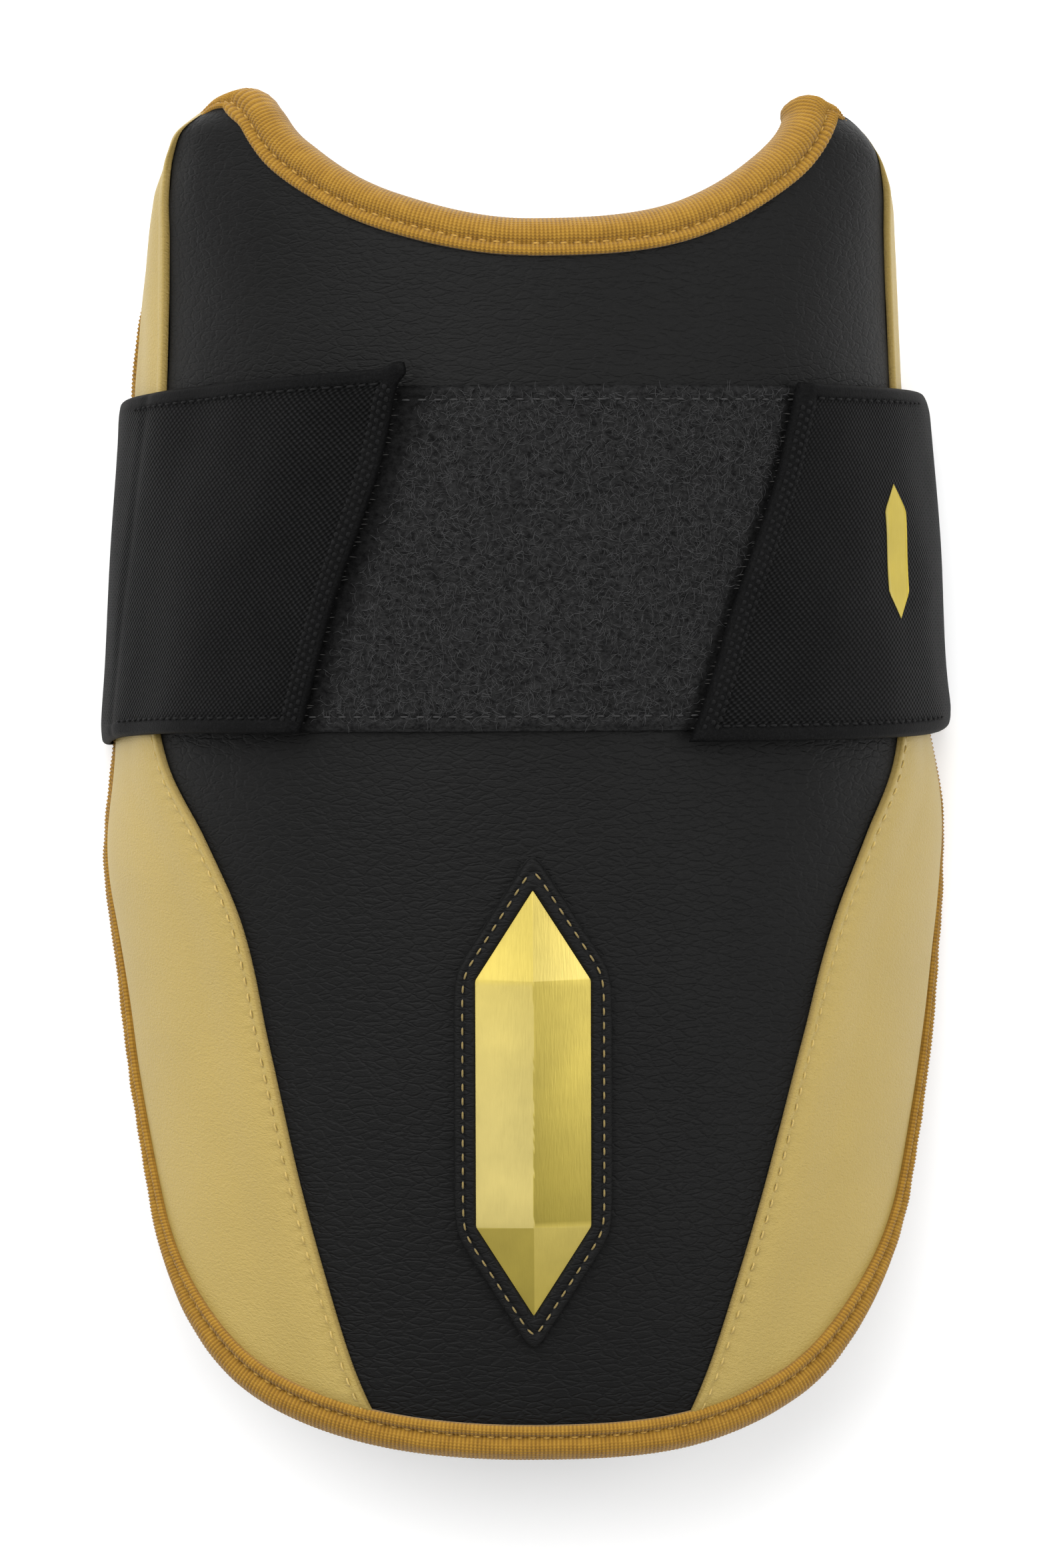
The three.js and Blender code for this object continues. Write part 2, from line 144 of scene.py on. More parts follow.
# The seams between the front panel and the side panels: y, left angle, right angle.
SEAM = np.array(
    [
        (-118, 18, 18),
        (-100, 25, 24.7),
        (-72, 33.5, 33.9),
        (-46, 39.1, 40.9),
        (-25, 43.3, 46.6),
        (-11, 50.2, 53.4),
        (2, 60.7, 63),
        (14, 65.3, 68),
        (40, 67.5, 72),
        (70, 67.7, 74),
        (92, 71.2, 76.3),
        (100, 75, 79),
        (106, 78.6, 81.3),
        (110, 77.6, 85.3),
        (114, 76.8, 90.8),
        (118, 77, 96.6),
    ],
    dtype=float,
)

# The binding along half of the edge: share from neck to toe, width of its front leg on the left and on the
# right, and how full it is.
BINDING = np.array(
    [
        (0, 7.0, 7.0, 1),
        (0.05, 7.1, 7.1, 1),
        (0.11, 7.4, 7.3, 1),
        (0.16, 7.4, 7.8, 1),
        (0.19, 7.1, 7.9, 1),
        (0.22, 6.8, 7.9, 1),
        (0.232, 6.2, 7.6, 0.85),
        (0.24, 4.7, 7.0, 0.62),
        (0.25, 3.7, 4.2, 0.45),
        (0.26, 3.3, 1.5, 0.4),
        (0.28, 2.6, 1.2, 0.4),
        (0.3, 2.0, 1.2, 0.4),
        (0.34, 1.6, 1.6, 0.5),
        (0.37, 2.4, 2.2, 0.7),
        (0.4, 3.0, 3.0, 0.78),
        (0.45, 3.6, 3.6, 0.84),
        (0.75, 4.4, 4.4, 0.95),
        (0.85, 6.6, 6.6, 1),
        (0.93, 7.2, 7.2, 1),
        (1, 7.1, 7.1, 1),
    ]
)
FULLNESS = 3

# The shares of the edge round the tip of each horn, where the front leg's inner edge runs straight.
HORN_TIP = {LEFT: (0.172, 0.243), RIGHT: (0.166, 0.25)}

# Where the binding tucks in behind the panels on the outer side of each horn: the shares of the edge where
# it starts to, is in, starts to come out and is out again. There it moves in and down, and the panels end
# nearer to the edge.
TUCK = {LEFT: (0.25, 0.27, 0.3, 0.34), RIGHT: (0.25, 0.266, 0.45, 0.5)}
TUCK_INSET = 1.8
TUCK_DROP = 1.3
TUCK_RIM = 0.3

# The shell's layers, and the edge where they roll down.
GAP = 0.35
SKIN = 1.2
PAD_TOP = -1.55
PAD_THICK = 11.0
PAD_EDGE_THICK = 3.2
PAD_RAMP = 26.0
EDGE_ROLL = 1.4
EDGE_ROLL_WIDTH = 9.0
EDGE_INSET = 1.5
SEAM_OVERLAP = 2.5

# The spine that the ribs start from, and how finely the edge and the seams are worked out. The smoothing is
# in shares of the edge.
SPINE_TOP = 58.0
SPINE_TOE = -72.0
SPINE_SHARE = 0.72
EDGE_SMOOTH = 0.014
LEG_SMOOTH = 0.007
EDGE_SAMPLES = 3000
SEAM_SAMPLES = 4000
SEAM_HALVINGS = 40
NEAR_EDGE = 0.97
SHORTEST_WAVE = 0.33
WELD = 1e-4

# The loop panel, the hook tabs and the strap, in millimetres, in degrees round the shell and, for the tabs'
# margin, in shares of the strap's width.
SIDE_ANGLE = 90.0
MM_PER_DEGREE = 1.2
LOOP_LOW = 7.4
LOOP_HIGH = 66.2
LOOP_ANGLE = 52.0
LOOP_THICK = 1.4
TAB_THICK = 1.0
TAB_START = 0.9
TAB_ANGLE = 15.0
TAB_MARGIN = 0.03
TAB_LIFT = 2 * GAP + LOOP_THICK
STRAP_LOW = 6.9
STRAP_HIGH = 66.4
STRAP_STOCK_WIDTH = 60.0
STRAP_THICK = 1.6
STRAP_END_LIFT = TAB_LIFT + TAB_THICK + GAP
STRAP_RAMP = 24.0
STRAP_RADIUS = 70.0
STRAP_CORNER = 4.0

# How the strap lies. Its cut wanders, the cut's high corner stands up in an ear and curls, the edges pull
# in round the sides, and the band is a little uneven in front.
CUT_WANDER = 0.35
CUT_WANDER_TURNS = 1.4
CUT_WANDER_SHIFT = 0.2
EAR_WIDTH = 1.6
EAR_RISE = 0.9
EAR_RISE_AT = 1.0
EAR_RISE_WIDTH = 2.0
CURL_REACH = 11.0
DROOP_REACH = 2.2
PULL = 1.9
PULL_WIDTH = 5.0
PULL_FROM = 50.0
PULL_RAMP = 30.0
LEAST_SIDE_LIFT = 0.2
BAND_UNEVEN = 0.35
BAND_UNEVEN_LENGTH = 30.0
BAND_SEED = 5
BAND_FRONT = 72.0
BAND_FRONT_RAMP = 16.0

# The relief of the strap's outer face: raised hems, a raised band along the cut, the grooves of their
# seams, and a crease down the side. It fades out toward the side.
HEM_RAISE = 0.28
HEM_LEAD = 0.3
HEM_BLEND = 0.4
HEM_GROOVE = 0.15
HEM_GROOVE_WIDTH = 0.32
CUT_BAND = 3.0
CUT_BAND_BLEND = 0.5
CUT_GROOVE = 0.16
CUT_GROOVE_AT = 0.8
CUT_GROOVE_WIDTH = 0.25
CUT_CROWDING = 1.25
CREASE_LOW = 78.0
CREASE_HIGH = 70.0
CREASE_WIDTH = 1.6
RELIEF_END = 76.0
RELIEF_RAMP = 12.0

# The badge: an upright bar with pointed ends.
BADGE_Y = -56.0
BADGE_HALF_HEIGHT = 36.0
BADGE_HALF_WIDTH = 9.5
BADGE_SHOULDER = 21.0
BADGE_BORDER = 4.0
BADGE_FRAME_THICK = 1.4
INLAY_RIM = 0.8
INLAY_RIDGE = 2.4

WHITE = (1.0, 1.0, 1.0)


@dataclass
class StrapEnd:
    """One end of the strap: its side, its slanted cut and its two edges.

    The cut has an angle on the low and on the high edge. Each edge has a y at the cut and a y at the side
    of the shell, where the strap stands off by a lift. The curl lifts the cut's high corner, the ear pushes
    that corner out, the crease runs down the side and the droop lets the cut down over the hook tab.
    """

    side: int
    low_angle: float
    high_angle: float
    cut_low: float
    cut_high: float
    side_low: float
    side_high: float
    side_lift: float
    curl: float
    ear: float
    crease: float
    droop: float

    def face(self, angle, y, lift):
        """A point raised from the shell on this end's side."""
        return face(self.side * angle, y, lift)

    def normal(self, angle, y):
        """The shell's outward normal on this end's side."""
        return arch_normal(self.side * angle, y)

    def pull(self, from_edge):
        """How far the strap's edges pull in round the side, where the band rolls over them."""
        return min(PULL, self.side_lift - LEAST_SIDE_LIFT) * (1.0 - round_over(from_edge / PULL_WIDTH))

    def half_width(self, y):
        """How far the shell's side lies from the middle."""
        return np.abs(arch(self.side * SIDE_ANGLE, y)[..., 0])


STRAP_ENDS = (
    StrapEnd(
        side=LEFT,
        low_angle=32.6,
        high_angle=17.6,
        cut_low=7.1,
        cut_high=69.0,
        side_low=4.6,
        side_high=64.8,
        side_lift=1.1,
        curl=1.6,
        ear=1.1,
        crease=0.3,
        droop=0.6,
    ),
    StrapEnd(
        side=RIGHT,
        low_angle=21.0,
        high_angle=42.0,
        cut_low=5.4,
        cut_high=66.4,
        side_low=6.6,
        side_high=65.6,
        side_lift=3.2,
        curl=0.4,
        ear=0.2,
        crease=0.0,
        droop=1.0,
    ),
)


def ease(t):
    """Smooth step from 0 at t = 0 to 1 at t = 1."""
    t = np.clip(t, 0.0, 1.0)
    return t * t * (3.0 - 2.0 * t)


def mix(a, b, t):
    """The point a share t of the way from a to b."""
    return a + (b - a) * t


def round_over(t):
    """Quarter circle that rises from 0 at t = 0 to 1 at t = 1."""
    return np.sqrt(1.0 - (1.0 - np.clip(t, 0.0, 1.0)) ** 2)


def bell(distance, width):
    """Bell curve: 1 at distance 0, falling away over the width."""
    return np.exp(-((distance / width) ** 2))


def unit(vectors):
    """Vectors scaled to length 1."""
    return vectors / np.maximum(np.linalg.norm(vectors, axis=-1, keepdims=True), 1e-12)


def column_at(table, column, y):
    """A table's column at y: a cubic between rows, with slopes taken across the neighbouring rows."""
    rows = table[:, 0]
    values = table[:, column]
    places = np.arange(len(rows))
    before = np.maximum(places - 1, 0)
    after = np.minimum(places + 1, len(rows) - 1)
    slopes = (values[after] - values[before]) / (rows[after] - rows[before])
    k = np.clip(np.searchsorted(rows, y, side="right") - 1, 0, len(rows) - 2)
    span = rows[k + 1] - rows[k]
    t = (y - rows[k]) / span
    rise = 3 * t**2 - 2 * t**3
    start = (t - 2 * t**2 + t**3) * span * slopes[k]
    finish = (t**3 - t**2) * span * slopes[k + 1]
    return mix(values[k], values[k + 1], rise) + start + finish


def arch(angle, y):
    """Half an ellipse at each y: x = half width * sin(angle), z = horizon + (crown - horizon) * cos(angle).

    Near its sides the half width swells by its side's amount times sin(angle) to the eighth.
    """
    angle, y = np.broadcast_arrays(np.radians(angle), np.asarray(y, dtype=float))
    left, right = (column_at(SWELL, SIDE_COLUMN[side], y) for side in (LEFT, RIGHT))
    swell = np.where(angle < 0, left, right) * np.sin(angle) ** 8
    x = (column_at(SECTIONS, HALF_WIDTH, y) + swell) * np.sin(angle)
    horizon = column_at(SECTIONS, HORIZON, y)
    rise = column_at(SECTIONS, CROWN, y) - horizon
    return np.stack([x, y, horizon + rise * np.cos(angle)], -1)


def arch_tangents(angle, y):
    """How far the arch's point moves for a degree of angle and for a millimetre of y."""
    step = 0.5
    across = arch(angle + step, y) - arch(angle - step, y)
    along = arch(angle, y + step) - arch(angle, y - step)
    return across, along


def arch_normal(angle, y):
    """The arch's outward normal, from the cross product of its two tangents."""
    return unit(np.cross(*arch_tangents(angle, y)))


def face(angle, y, lift):
    """A point raised from the arch by lift along its normal."""
    return arch(angle, y) + np.asarray(lift)[..., None] * arch_normal(angle, y)


def outline_at(share, side):
    """The outer edge at a share of its half: a centripetal Catmull-Rom curve through the outline's rows.

    Gives angles that grow from 0 on both sides; shares below 0 and above 1 run on into the mirrored half.
    """
    rows = OUTLINE[:, 2:] if side == RIGHT else OUTLINE[:, :2]
    mirror = np.array([-1.0, 1.0])
    knots = np.vstack([rows[1] * mirror, rows, rows[-2] * mirror])
    on_half = (share >= 0.0) & (share <= 1.0)
    folded = np.where(on_half, share, 1.0 - np.abs(1.0 - np.abs(share)))
    reach = 1.0 + folded * (len(rows) - 1)
    k = np.clip(reach.astype(int), 1, len(knots) - 3)
    t = (reach - k)[:, None]
    p0, p1, p2, p3 = (knots[k + step] for step in (-1, 0, 1, 2))
    d0, d1, d2 = (np.linalg.norm(b - a, axis=1)[:, None] ** 0.5 for a, b in ((p0, p1), (p1, p2), (p2, p3)))
    slope1 = ((p1 - p0) / d0 - (p2 - p0) / (d0 + d1) + (p2 - p1) / d1) * d1
    slope2 = ((p2 - p1) / d1 - (p3 - p1) / (d1 + d2) + (p3 - p2) / d2) * d1
    rise = 3 * t**2 - 2 * t**3
    point = mix(p1, p2, rise) + (t - 2 * t**2 + t**3) * slope1 + (t**3 - t**2) * slope2
    return np.where(on_half, 1.0, -1.0) * point[:, 0], point[:, 1]


@dataclass
class Ribs:
    """Lines across the shell, each from the spine (r = 0) out to the edge (r = 1).

    Reach is a rib's length as seen square to the edge. Leg and full are the width and the fullness of the
    binding's front leg; turn and climb are its steps of angle and y for a millimetre in from the edge.
    """

    angle: np.ndarray
    y: np.ndarray
    root: np.ndarray
    length: np.ndarray
    reach: np.ndarray
    turn: np.ndarray
    climb: np.ndarray
    seam: np.ndarray
    tuck: np.ndarray
    leg: np.ndarray
    full: np.ndarray

    def place(self, r):
        """Angle and y at r along each rib."""
        return r * self.angle[:, None], mix(self.root[:, None], self.y[:, None], r)

    def inset(self, r):
        """Distance from the outer edge, in from r = 1."""
        return (1.0 - r) * self.reach[:, None]

    def rim(self):
        """Where the panels end, a little inside the edge, or at it where the binding is tucked in."""
        return 1.0 - mix(EDGE_INSET, TUCK_RIM, self.tuck) / self.reach

    def pad_rim(self):
        """Where the pad ends, inside the binding."""
        return 1.0 - (EDGE_INSET + TUCK_INSET * self.tuck) / self.reach

    def point(self, r, lift):
        """A point at r, raised by lift from a shell whose edge rolls down."""
        return rolled_face(*self.place(r), self.inset(r), lift)

    def edge_place(self, inset):
        """Angle and y at a distance in from the edge, along the binding's front leg."""
        angle = self.angle[:, None] + inset * self.turn[:, None]
        return angle, self.y[:, None] + inset * self.climb[:, None]

    def edge_point(self, inset, lift):
        """A point at a distance in from the edge, along the front leg, raised like the others."""
        return rolled_face(*self.edge_place(inset), inset, lift)


def rolled_face(angle, y, inset, lift):
    """A point raised from the arch, less a drop that grows toward the outer edge."""
    return face(angle, y, lift - EDGE_ROLL * (1.0 - ease(inset / EDGE_ROLL_WIDTH)))


def ribs_at(share, side):
    """Ribs that end at shares of the outer edge's half, with the seam found on each by halving."""
    angle, y = outline_at(share, side)
    root = np.clip(SPINE_SHARE * y, SPINE_TOE, SPINE_TOP)
    low = np.zeros_like(angle)
    high = np.ones_like(angle)
    for _ in range(SEAM_HALVINGS):
        middle = (low + high) / 2
        outside = middle * angle > column_at(SEAM, SIDE_COLUMN[side], mix(root, y, middle))
        high = np.where(outside, middle, high)
        low = np.where(outside, low, middle)
    start, inside, leave, out = TUCK[side]
    tuck = ease((share - start) / (inside - start)) * (1.0 - ease((share - leave) / (out - leave)))
    angle = side * angle
    inward = arch(NEAR_EDGE * angle, mix(root, y, NEAR_EDGE)) - arch(angle, y)
    back = inward / (1.0 - NEAR_EDGE)
    length = np.linalg.norm(back, axis=1)
    reach = np.abs(np.sum(square_to_edge(share, side)[0] * back, axis=1))
    inner_angle, inner_y = leg_end(share, side)
    leg = np.linalg.norm(arch(inner_angle, inner_y) - arch(angle, y), axis=1)
    full = column_at(BINDING, FULLNESS, share)
    turn = (inner_angle - angle) / leg
    climb = (inner_y - y) / leg
    return Ribs(angle, y, root, length, reach, turn, climb, high, tuck, leg, full)


def square_to_edge(share, side):
    """The direction square to the edge and into the shell, and the steps of angle and y along it."""
    angle, y = outline_at(share, side)
    across, along = arch_tangents(side * angle, y)
    ahead, behind = (outline_at(share + way, side) for way in (EDGE_SMOOTH, -EDGE_SMOOTH))
    tangent = side * (ahead[0] - behind[0])[:, None] * across + (ahead[1] - behind[1])[:, None] * along
    square = unit(np.cross(tangent, np.cross(across, along))) * side
    return square, steps_along(square, across, along)


def leg_end(share, side):
    """Angle and y of the front leg's inner edge, its corners rounded by an average of near places."""
    near = [leg_line(share + way, side) for way in (-LEG_SMOOTH, 0.0, LEG_SMOOTH)]
    return [np.mean(values, axis=0) for values in zip(*near)]


def leg_line(share, side):
    """A line square in from the outer edge by the front leg's width, straight under the tip of the horn."""
    first, last = HORN_TIP[side]
    t = np.clip((share - first) / (last - first), 0.0, 1.0)
    ends = [square_in(np.array([tip]), side) for tip in (first, last)]
    straight = [mix(before, after, t) for before, after in zip(*ends)]
    on_tip = (t > 0.0) & (t < 1.0)
    return [np.where(on_tip, under, square) for under, square in zip(straight, square_in(share, side))]


def square_in(share, side):
    """Angle and y at the front leg's width in from the outer edge, square to it."""
    angle, y = outline_at(share, side)
    turn, climb = square_to_edge(share, side)[1]
    leg = column_at(BINDING, SIDE_COLUMN[side], share)
    return side * angle + leg * turn, y + leg * climb


def steps_along(way, first, second):
    """How much of two directions adds up to a third in their plane."""
    dot = [np.sum(a * b, axis=1) for a, b in ((first, first), (first, second), (second, second))]
    on_first = np.sum(way * first, axis=1)
    on_second = np.sum(way * second, axis=1)
    area = dot[0] * dot[2] - dot[1] ** 2
    return (on_first * dot[2] - on_second * dot[1]) / area, (on_second * dot[0] - on_first * dot[1]) / area


def lengths_along(path):
    """Distance travelled along a path of points, starting at 0."""
    steps = np.linalg.norm(np.diff(path, axis=0), axis=1)
    return np.concatenate([[0.0], np.cumsum(steps)])


def even_shares(count, first=0.0, last=1.0, side=RIGHT, of=None):
    """Shares of the half edge at even steps of length along the edge, or along another line of the ribs."""
    share = np.linspace(first, last, EDGE_SAMPLES)
    ribs = ribs_at(share, side)
    r = np.ones_like(share) if of is None else of(ribs)
    travelled = lengths_along(ribs.point(r[:, None], 0.0)[:, 0])
    return np.interp(np.linspace(0.0, travelled[-1], count), travelled, share)


def ring_ribs(count):
    """Ribs all round the guard: the right half from neck to toe, then the left half back to the neck."""
    share = even_shares(count)
    right = ribs_at(share, RIGHT)
    left = ribs_at(share[-2:0:-1], LEFT)
    joined = [np.concatenate([getattr(right, name), getattr(left, name)]) for name in Ribs.__annotations__]
    return Ribs(*joined)


def seam_span(side):
    """Shares of the half edge where the seam first leaves the rim near the horn and meets it at the toe."""
    share = np.linspace(0.0, 1.0, SEAM_SAMPLES)
    ribs = ribs_at(share, side)
    inside = np.nonzero(ribs.seam < ribs.rim())[0]
    return share[inside[0]], share[inside[-1]]


def pad_depth(inset):
    """How far the pad's inner face lies under the shell: thin at the edge, thick from the ramp inward."""
    return -PAD_TOP + mix(PAD_EDGE_THICK, PAD_THICK, ease(inset / PAD_RAMP))


def waves(x, y, seed, longest, count=6):
    """Soft unevenness from -1 to 1: a mean of sines of random direction, phase and length.

    The lengths run from about a third of the longest up to it.
    """
    random = np.random.default_rng(seed)
    total = np.zeros(np.broadcast(x, y).shape)
    for _ in range(count):
        turn, phase = random.uniform(0.0, 2 * np.pi, 2)
        pitch = longest * random.uniform(SHORTEST_WAVE, 1.0)
        total += np.sin(2 * np.pi * (x * np.cos(turn) + y * np.sin(turn)) / pitch + phase)
    return total / count


@dataclass
class Shape:
    """A mesh in millimetres: points, faces, and values or texture places kept on each point."""

    points: np.ndarray
    faces: np.ndarray
    places: np.ndarray = None
    values: dict = field(default_factory=dict)


def grid_faces(index):
    """Quads between neighbouring rows and columns of a grid of point numbers."""
    return np.stack([index[:-1, :-1], index[1:, :-1], index[1:, 1:], index[:-1, 1:]], -1).reshape(-1, 4)


def wall(top, low, ring=False, filled=False, places=None, values=None):
    """A closed skin between two grids of points: both faces, and a rim where the grids end.

    A ring joins its last row to its first. A filled wall has no rim along its first column, because
    the rows meet there.
    """
    rows, columns = top.shape[:2]
    over = np.arange(rows * columns).reshape(rows, columns)
    if ring:
        over = np.vstack([over, over[:1]])
    under = over + rows * columns
    faces = [grid_faces(over), grid_faces(under)[:, ::-1]]
    rims = [(over[:, -1], under[:, -1], 1)]
    if not filled:
        rims.append((over[:, 0], under[:, 0], -1))
    if not ring:
        rims.append((over[0], under[0], 1))
        rims.append((over[-1], under[-1], -1))
    for upper, lower, turn in rims:
        faces.append(np.stack([upper[:-1], lower[:-1], lower[1:], upper[1:]], -1)[:, ::turn])
    both = {name: np.tile(np.ravel(value), 2) for name, value in (values or {}).items()}
    spread = None if places is None else np.tile(places.reshape(-1, 2), (2, 1))
    points = np.concatenate([top.reshape(-1, 3), low.reshape(-1, 3)])
    return Shape(points, np.concatenate(faces), spread, both)


def tube_ring(sections, places=None, values=None):
    """A closed tube from a ring of closed sections: both ways round, the last joins the first."""
    rows, columns = sections.shape[:2]
    index = np.arange(rows * columns).reshape(rows, columns)
    index = np.vstack([index, index[:1]])
    index = np.hstack([index, index[:, :1]])
    kept = {name: np.ravel(value) for name, value in (values or {}).items()}
    spread = None if places is None else places.reshape(-1, 2)
    return Shape(sections.reshape(-1, 3), grid_faces(index), spread, kept)


def threads(starts, ends, normals, radius, bow, steps=7, sides=6):
    """Short round threads: each runs from start to end, bowed outward by bow * sin(pi * share).

    Its girth is radius * sqrt(1 - (2 * share - 1) ^ 4), so that both ends are round.
    """
    share = np.linspace(0.0, 1.0, steps)
    turn = np.arange(sides) * 2 * np.pi / sides
    bow = np.broadcast_to(bow, len(starts))
    radius = np.broadcast_to(radius, len(starts))
    centres = mix(starts[:, None], ends[:, None], share[None, :, None])
    centres = centres + (bow[:, None] * np.sin(np.pi * share))[..., None] * normals[:, None]
    sideways = unit(np.cross(ends - starts, normals))
    girth = radius[:, None] * np.sqrt(np.clip(1.0 - (2 * share - 1) ** 4, 0.0, 1.0))
    spokes = np.cos(turn)[:, None] * sideways[:, None] + np.sin(turn)[:, None] * normals[:, None]
    points = centres[:, :, None] + girth[:, :, None, None] * spokes[:, None]
    index = np.arange(steps * sides).reshape(steps, sides)
    one = grid_faces(np.hstack([index, index[:, :1]]))
    faces = one[None] + (np.arange(len(starts)) * steps * sides)[:, None, None]
    return Shape(points.reshape(-1, 3), faces.reshape(-1, 4))


def stitch_row(path, normals, pitch, fill, radius, bow, sink=0.0):
    """Stitches at even steps along a path: each fills a share of its step and dips in at both ends."""
    travelled = lengths_along(path)
    begins = np.arange(int(travelled[-1] / pitch)) * pitch + pitch * (1 - fill) / 2
    sunk = path - sink * normals

    def at(lengths, values):
        return np.stack([np.interp(lengths, travelled, values[:, axis]) for axis in range(3)], -1)

    outward = unit(at(begins + pitch * fill / 2, normals))
    return threads(at(begins, sunk), at(begins + pitch * fill, sunk), outward, radius, bow)


def join(shapes):
    """Several shapes as one mesh."""
    offsets = np.cumsum([0] + [len(shape.points) for shape in shapes[:-1]])
    faces = [shape.faces + offset for shape, offset in zip(shapes, offsets)]
    return Shape(np.concatenate([shape.points for shape in shapes]), np.concatenate(faces))


def make_piece(name, node, shape, material, crease=None):
    """Makes a shape into a piece of the guard that stands for a CAD node, with its faces turned outward."""
    mesh = bpy.data.meshes.new(name)
    mesh.from_pydata(shape.points * MM, [], shape.faces)
    for key, values in shape.values.items():
        mesh.attributes.new(key, "FLOAT", "POINT").data.foreach_set("value", values.astype(np.float32))
    if shape.places is not None:
        corners = np.empty(len(mesh.loops), dtype=np.int32)
        mesh.loops.foreach_get("vertex_index", corners)
        mesh.uv_layers.new(name="Places").data.foreach_set("uv", shape.places[corners].ravel())
    welded = bmesh.new()
    welded.from_mesh(mesh)
    bmesh.ops.remove_doubles(welded, verts=welded.verts, dist=WELD * MM)
    if welded.calc_volume(signed=True) < 0:
        bmesh.ops.reverse_faces(welded, faces=welded.faces)
    welded.to_mesh(mesh)
    welded.free()
    mesh.polygons.foreach_set("use_smooth", np.ones(len(mesh.polygons), dtype=bool))
    if crease is not None:
        mesh.set_sharp_from_angle(angle=math.radians(crease))
    mesh.materials.append(material)
    piece = bpy.data.objects.new(name, mesh)
    bpy.context.collection.objects.link(piece)
    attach(piece, "root")
    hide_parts(node)
    return piece


class Paint:
    """A material with a Principled shader, and short ways to add nodes to its tree."""

    dark_up_to = 0.3
    light_from = 0.7

    def __init__(self, name, **sockets):
        self.material = bpy.data.materials.new(name)
        self.material.use_nodes = True
        self.tree = self.material.node_tree
        self.shader = self.tree.nodes["Principled BSDF"]
        for socket, value in sockets.items():
            self.shader.inputs[socket.replace("_", " ").title().replace("Ior", "IOR")].default_value = value

    def add(self, kind, inputs=None, **settings):
        """Adds a node: settings are its properties, inputs are numbers or other nodes' outputs."""
        node = self.tree.nodes.new("ShaderNode" + kind)
        for name, value in settings.items():
            setattr(node, name, value)
        for socket, value in (inputs or {}).items():
            if isinstance(value, bpy.types.NodeSocket):
                self.tree.links.new(value, node.inputs[socket])
            else:
                node.inputs[socket].default_value = value
        return node

    def coords(self, stretch=(1.0, 1.0, 1.0), turn=0.0):
        """Object coordinates in millimetres, stretched along each axis and turned about z."""
        source = self.add("TexCoord").outputs["Object"]
        scale = [1.0 / (MM * amount) for amount in stretch]
        turned = self.add("Mapping", {"Vector": source, "Rotation": (0.0, 0.0, math.radians(turn))})
        return self.add("Mapping", {"Vector": turned.outputs[0], "Scale": scale}).outputs[0]

    def places(self):
        """The piece's own texture places in millimetres, as separate u and v."""
        split = self.add("SeparateXYZ", {"Vector": self.add("UVMap", uv_map="Places").outputs[0]})
        return split.outputs[0], split.outputs[1]

    def value(self, name):
        """A value kept on the piece's points."""
        return self.add("Attribute", attribute_name=name).outputs["Fac"]

    def math(self, operation, a, b=0.0, c=0.0):
        """A sum of one kind on two or three inputs."""
        return self.add("Math", {0: a, 1: b, 2: c}, operation=operation).outputs[0]

    def noise(self, vector, size, detail=4.0, roughness=0.55):
        """Noise whose blobs are about size across, in the vector's units."""
        inputs = {"Vector": vector, "Scale": 1.0 / size, "Detail": detail, "Roughness": roughness}
        return self.add("TexNoise", inputs).outputs["Fac"]

    def cells(self, vector, size, feature="F1"):
        """Distances in a field of cells about size across."""
        inputs = {"Vector": vector, "Scale": 1.0 / size}
        return self.add("TexVoronoi", inputs, feature=feature).outputs["Distance"]

    def ramp(self, source, stops):
        """Colours along a value: stops are (place, colour)."""
        node = self.add("ValToRGB", {"Fac": source})
        while len(node.color_ramp.elements) < len(stops):
            node.color_ramp.elements.new(1.0)
        for element, (place, colour) in zip(node.color_ramp.elements, stops):
            element.position = place
            element.color = (*colour, 1.0)
        return node.outputs["Color"]

    def mottle(self, source, dark, light):
        """A dark and a light colour, blended over the middle of a noise."""
        return self.ramp(source, [(self.dark_up_to, dark), (self.light_from, light)])

    def times(self, a, b):
        """Two colours multiplied."""
        inputs = {0: 1.0, 6: a, 7: b}
        return self.add("Mix", inputs, data_type="RGBA", blend_type="MULTIPLY").outputs[2]

    def bump(self, height, depth, strength=1.0, after=None):
        """Bends the shading by a height that is depth millimetres at 1."""
        inputs = {"Height": height, "Distance": depth * MM, "Strength": strength}
        if after is not None:
            inputs["Normal"] = after
        return self.add("Bump", inputs).outputs[0]

    def wire(self, socket, output):
        """Feeds one of the shader's sockets."""
        self.tree.links.new(output, self.shader.inputs[socket])


def tones(colour, low, high):
    """A dark and a light version of one colour."""
    return tuple(c * low for c in colour), tuple(c * high for c in colour)


def grey(level):
    """A colour without a hue."""
    return (level, level, level)


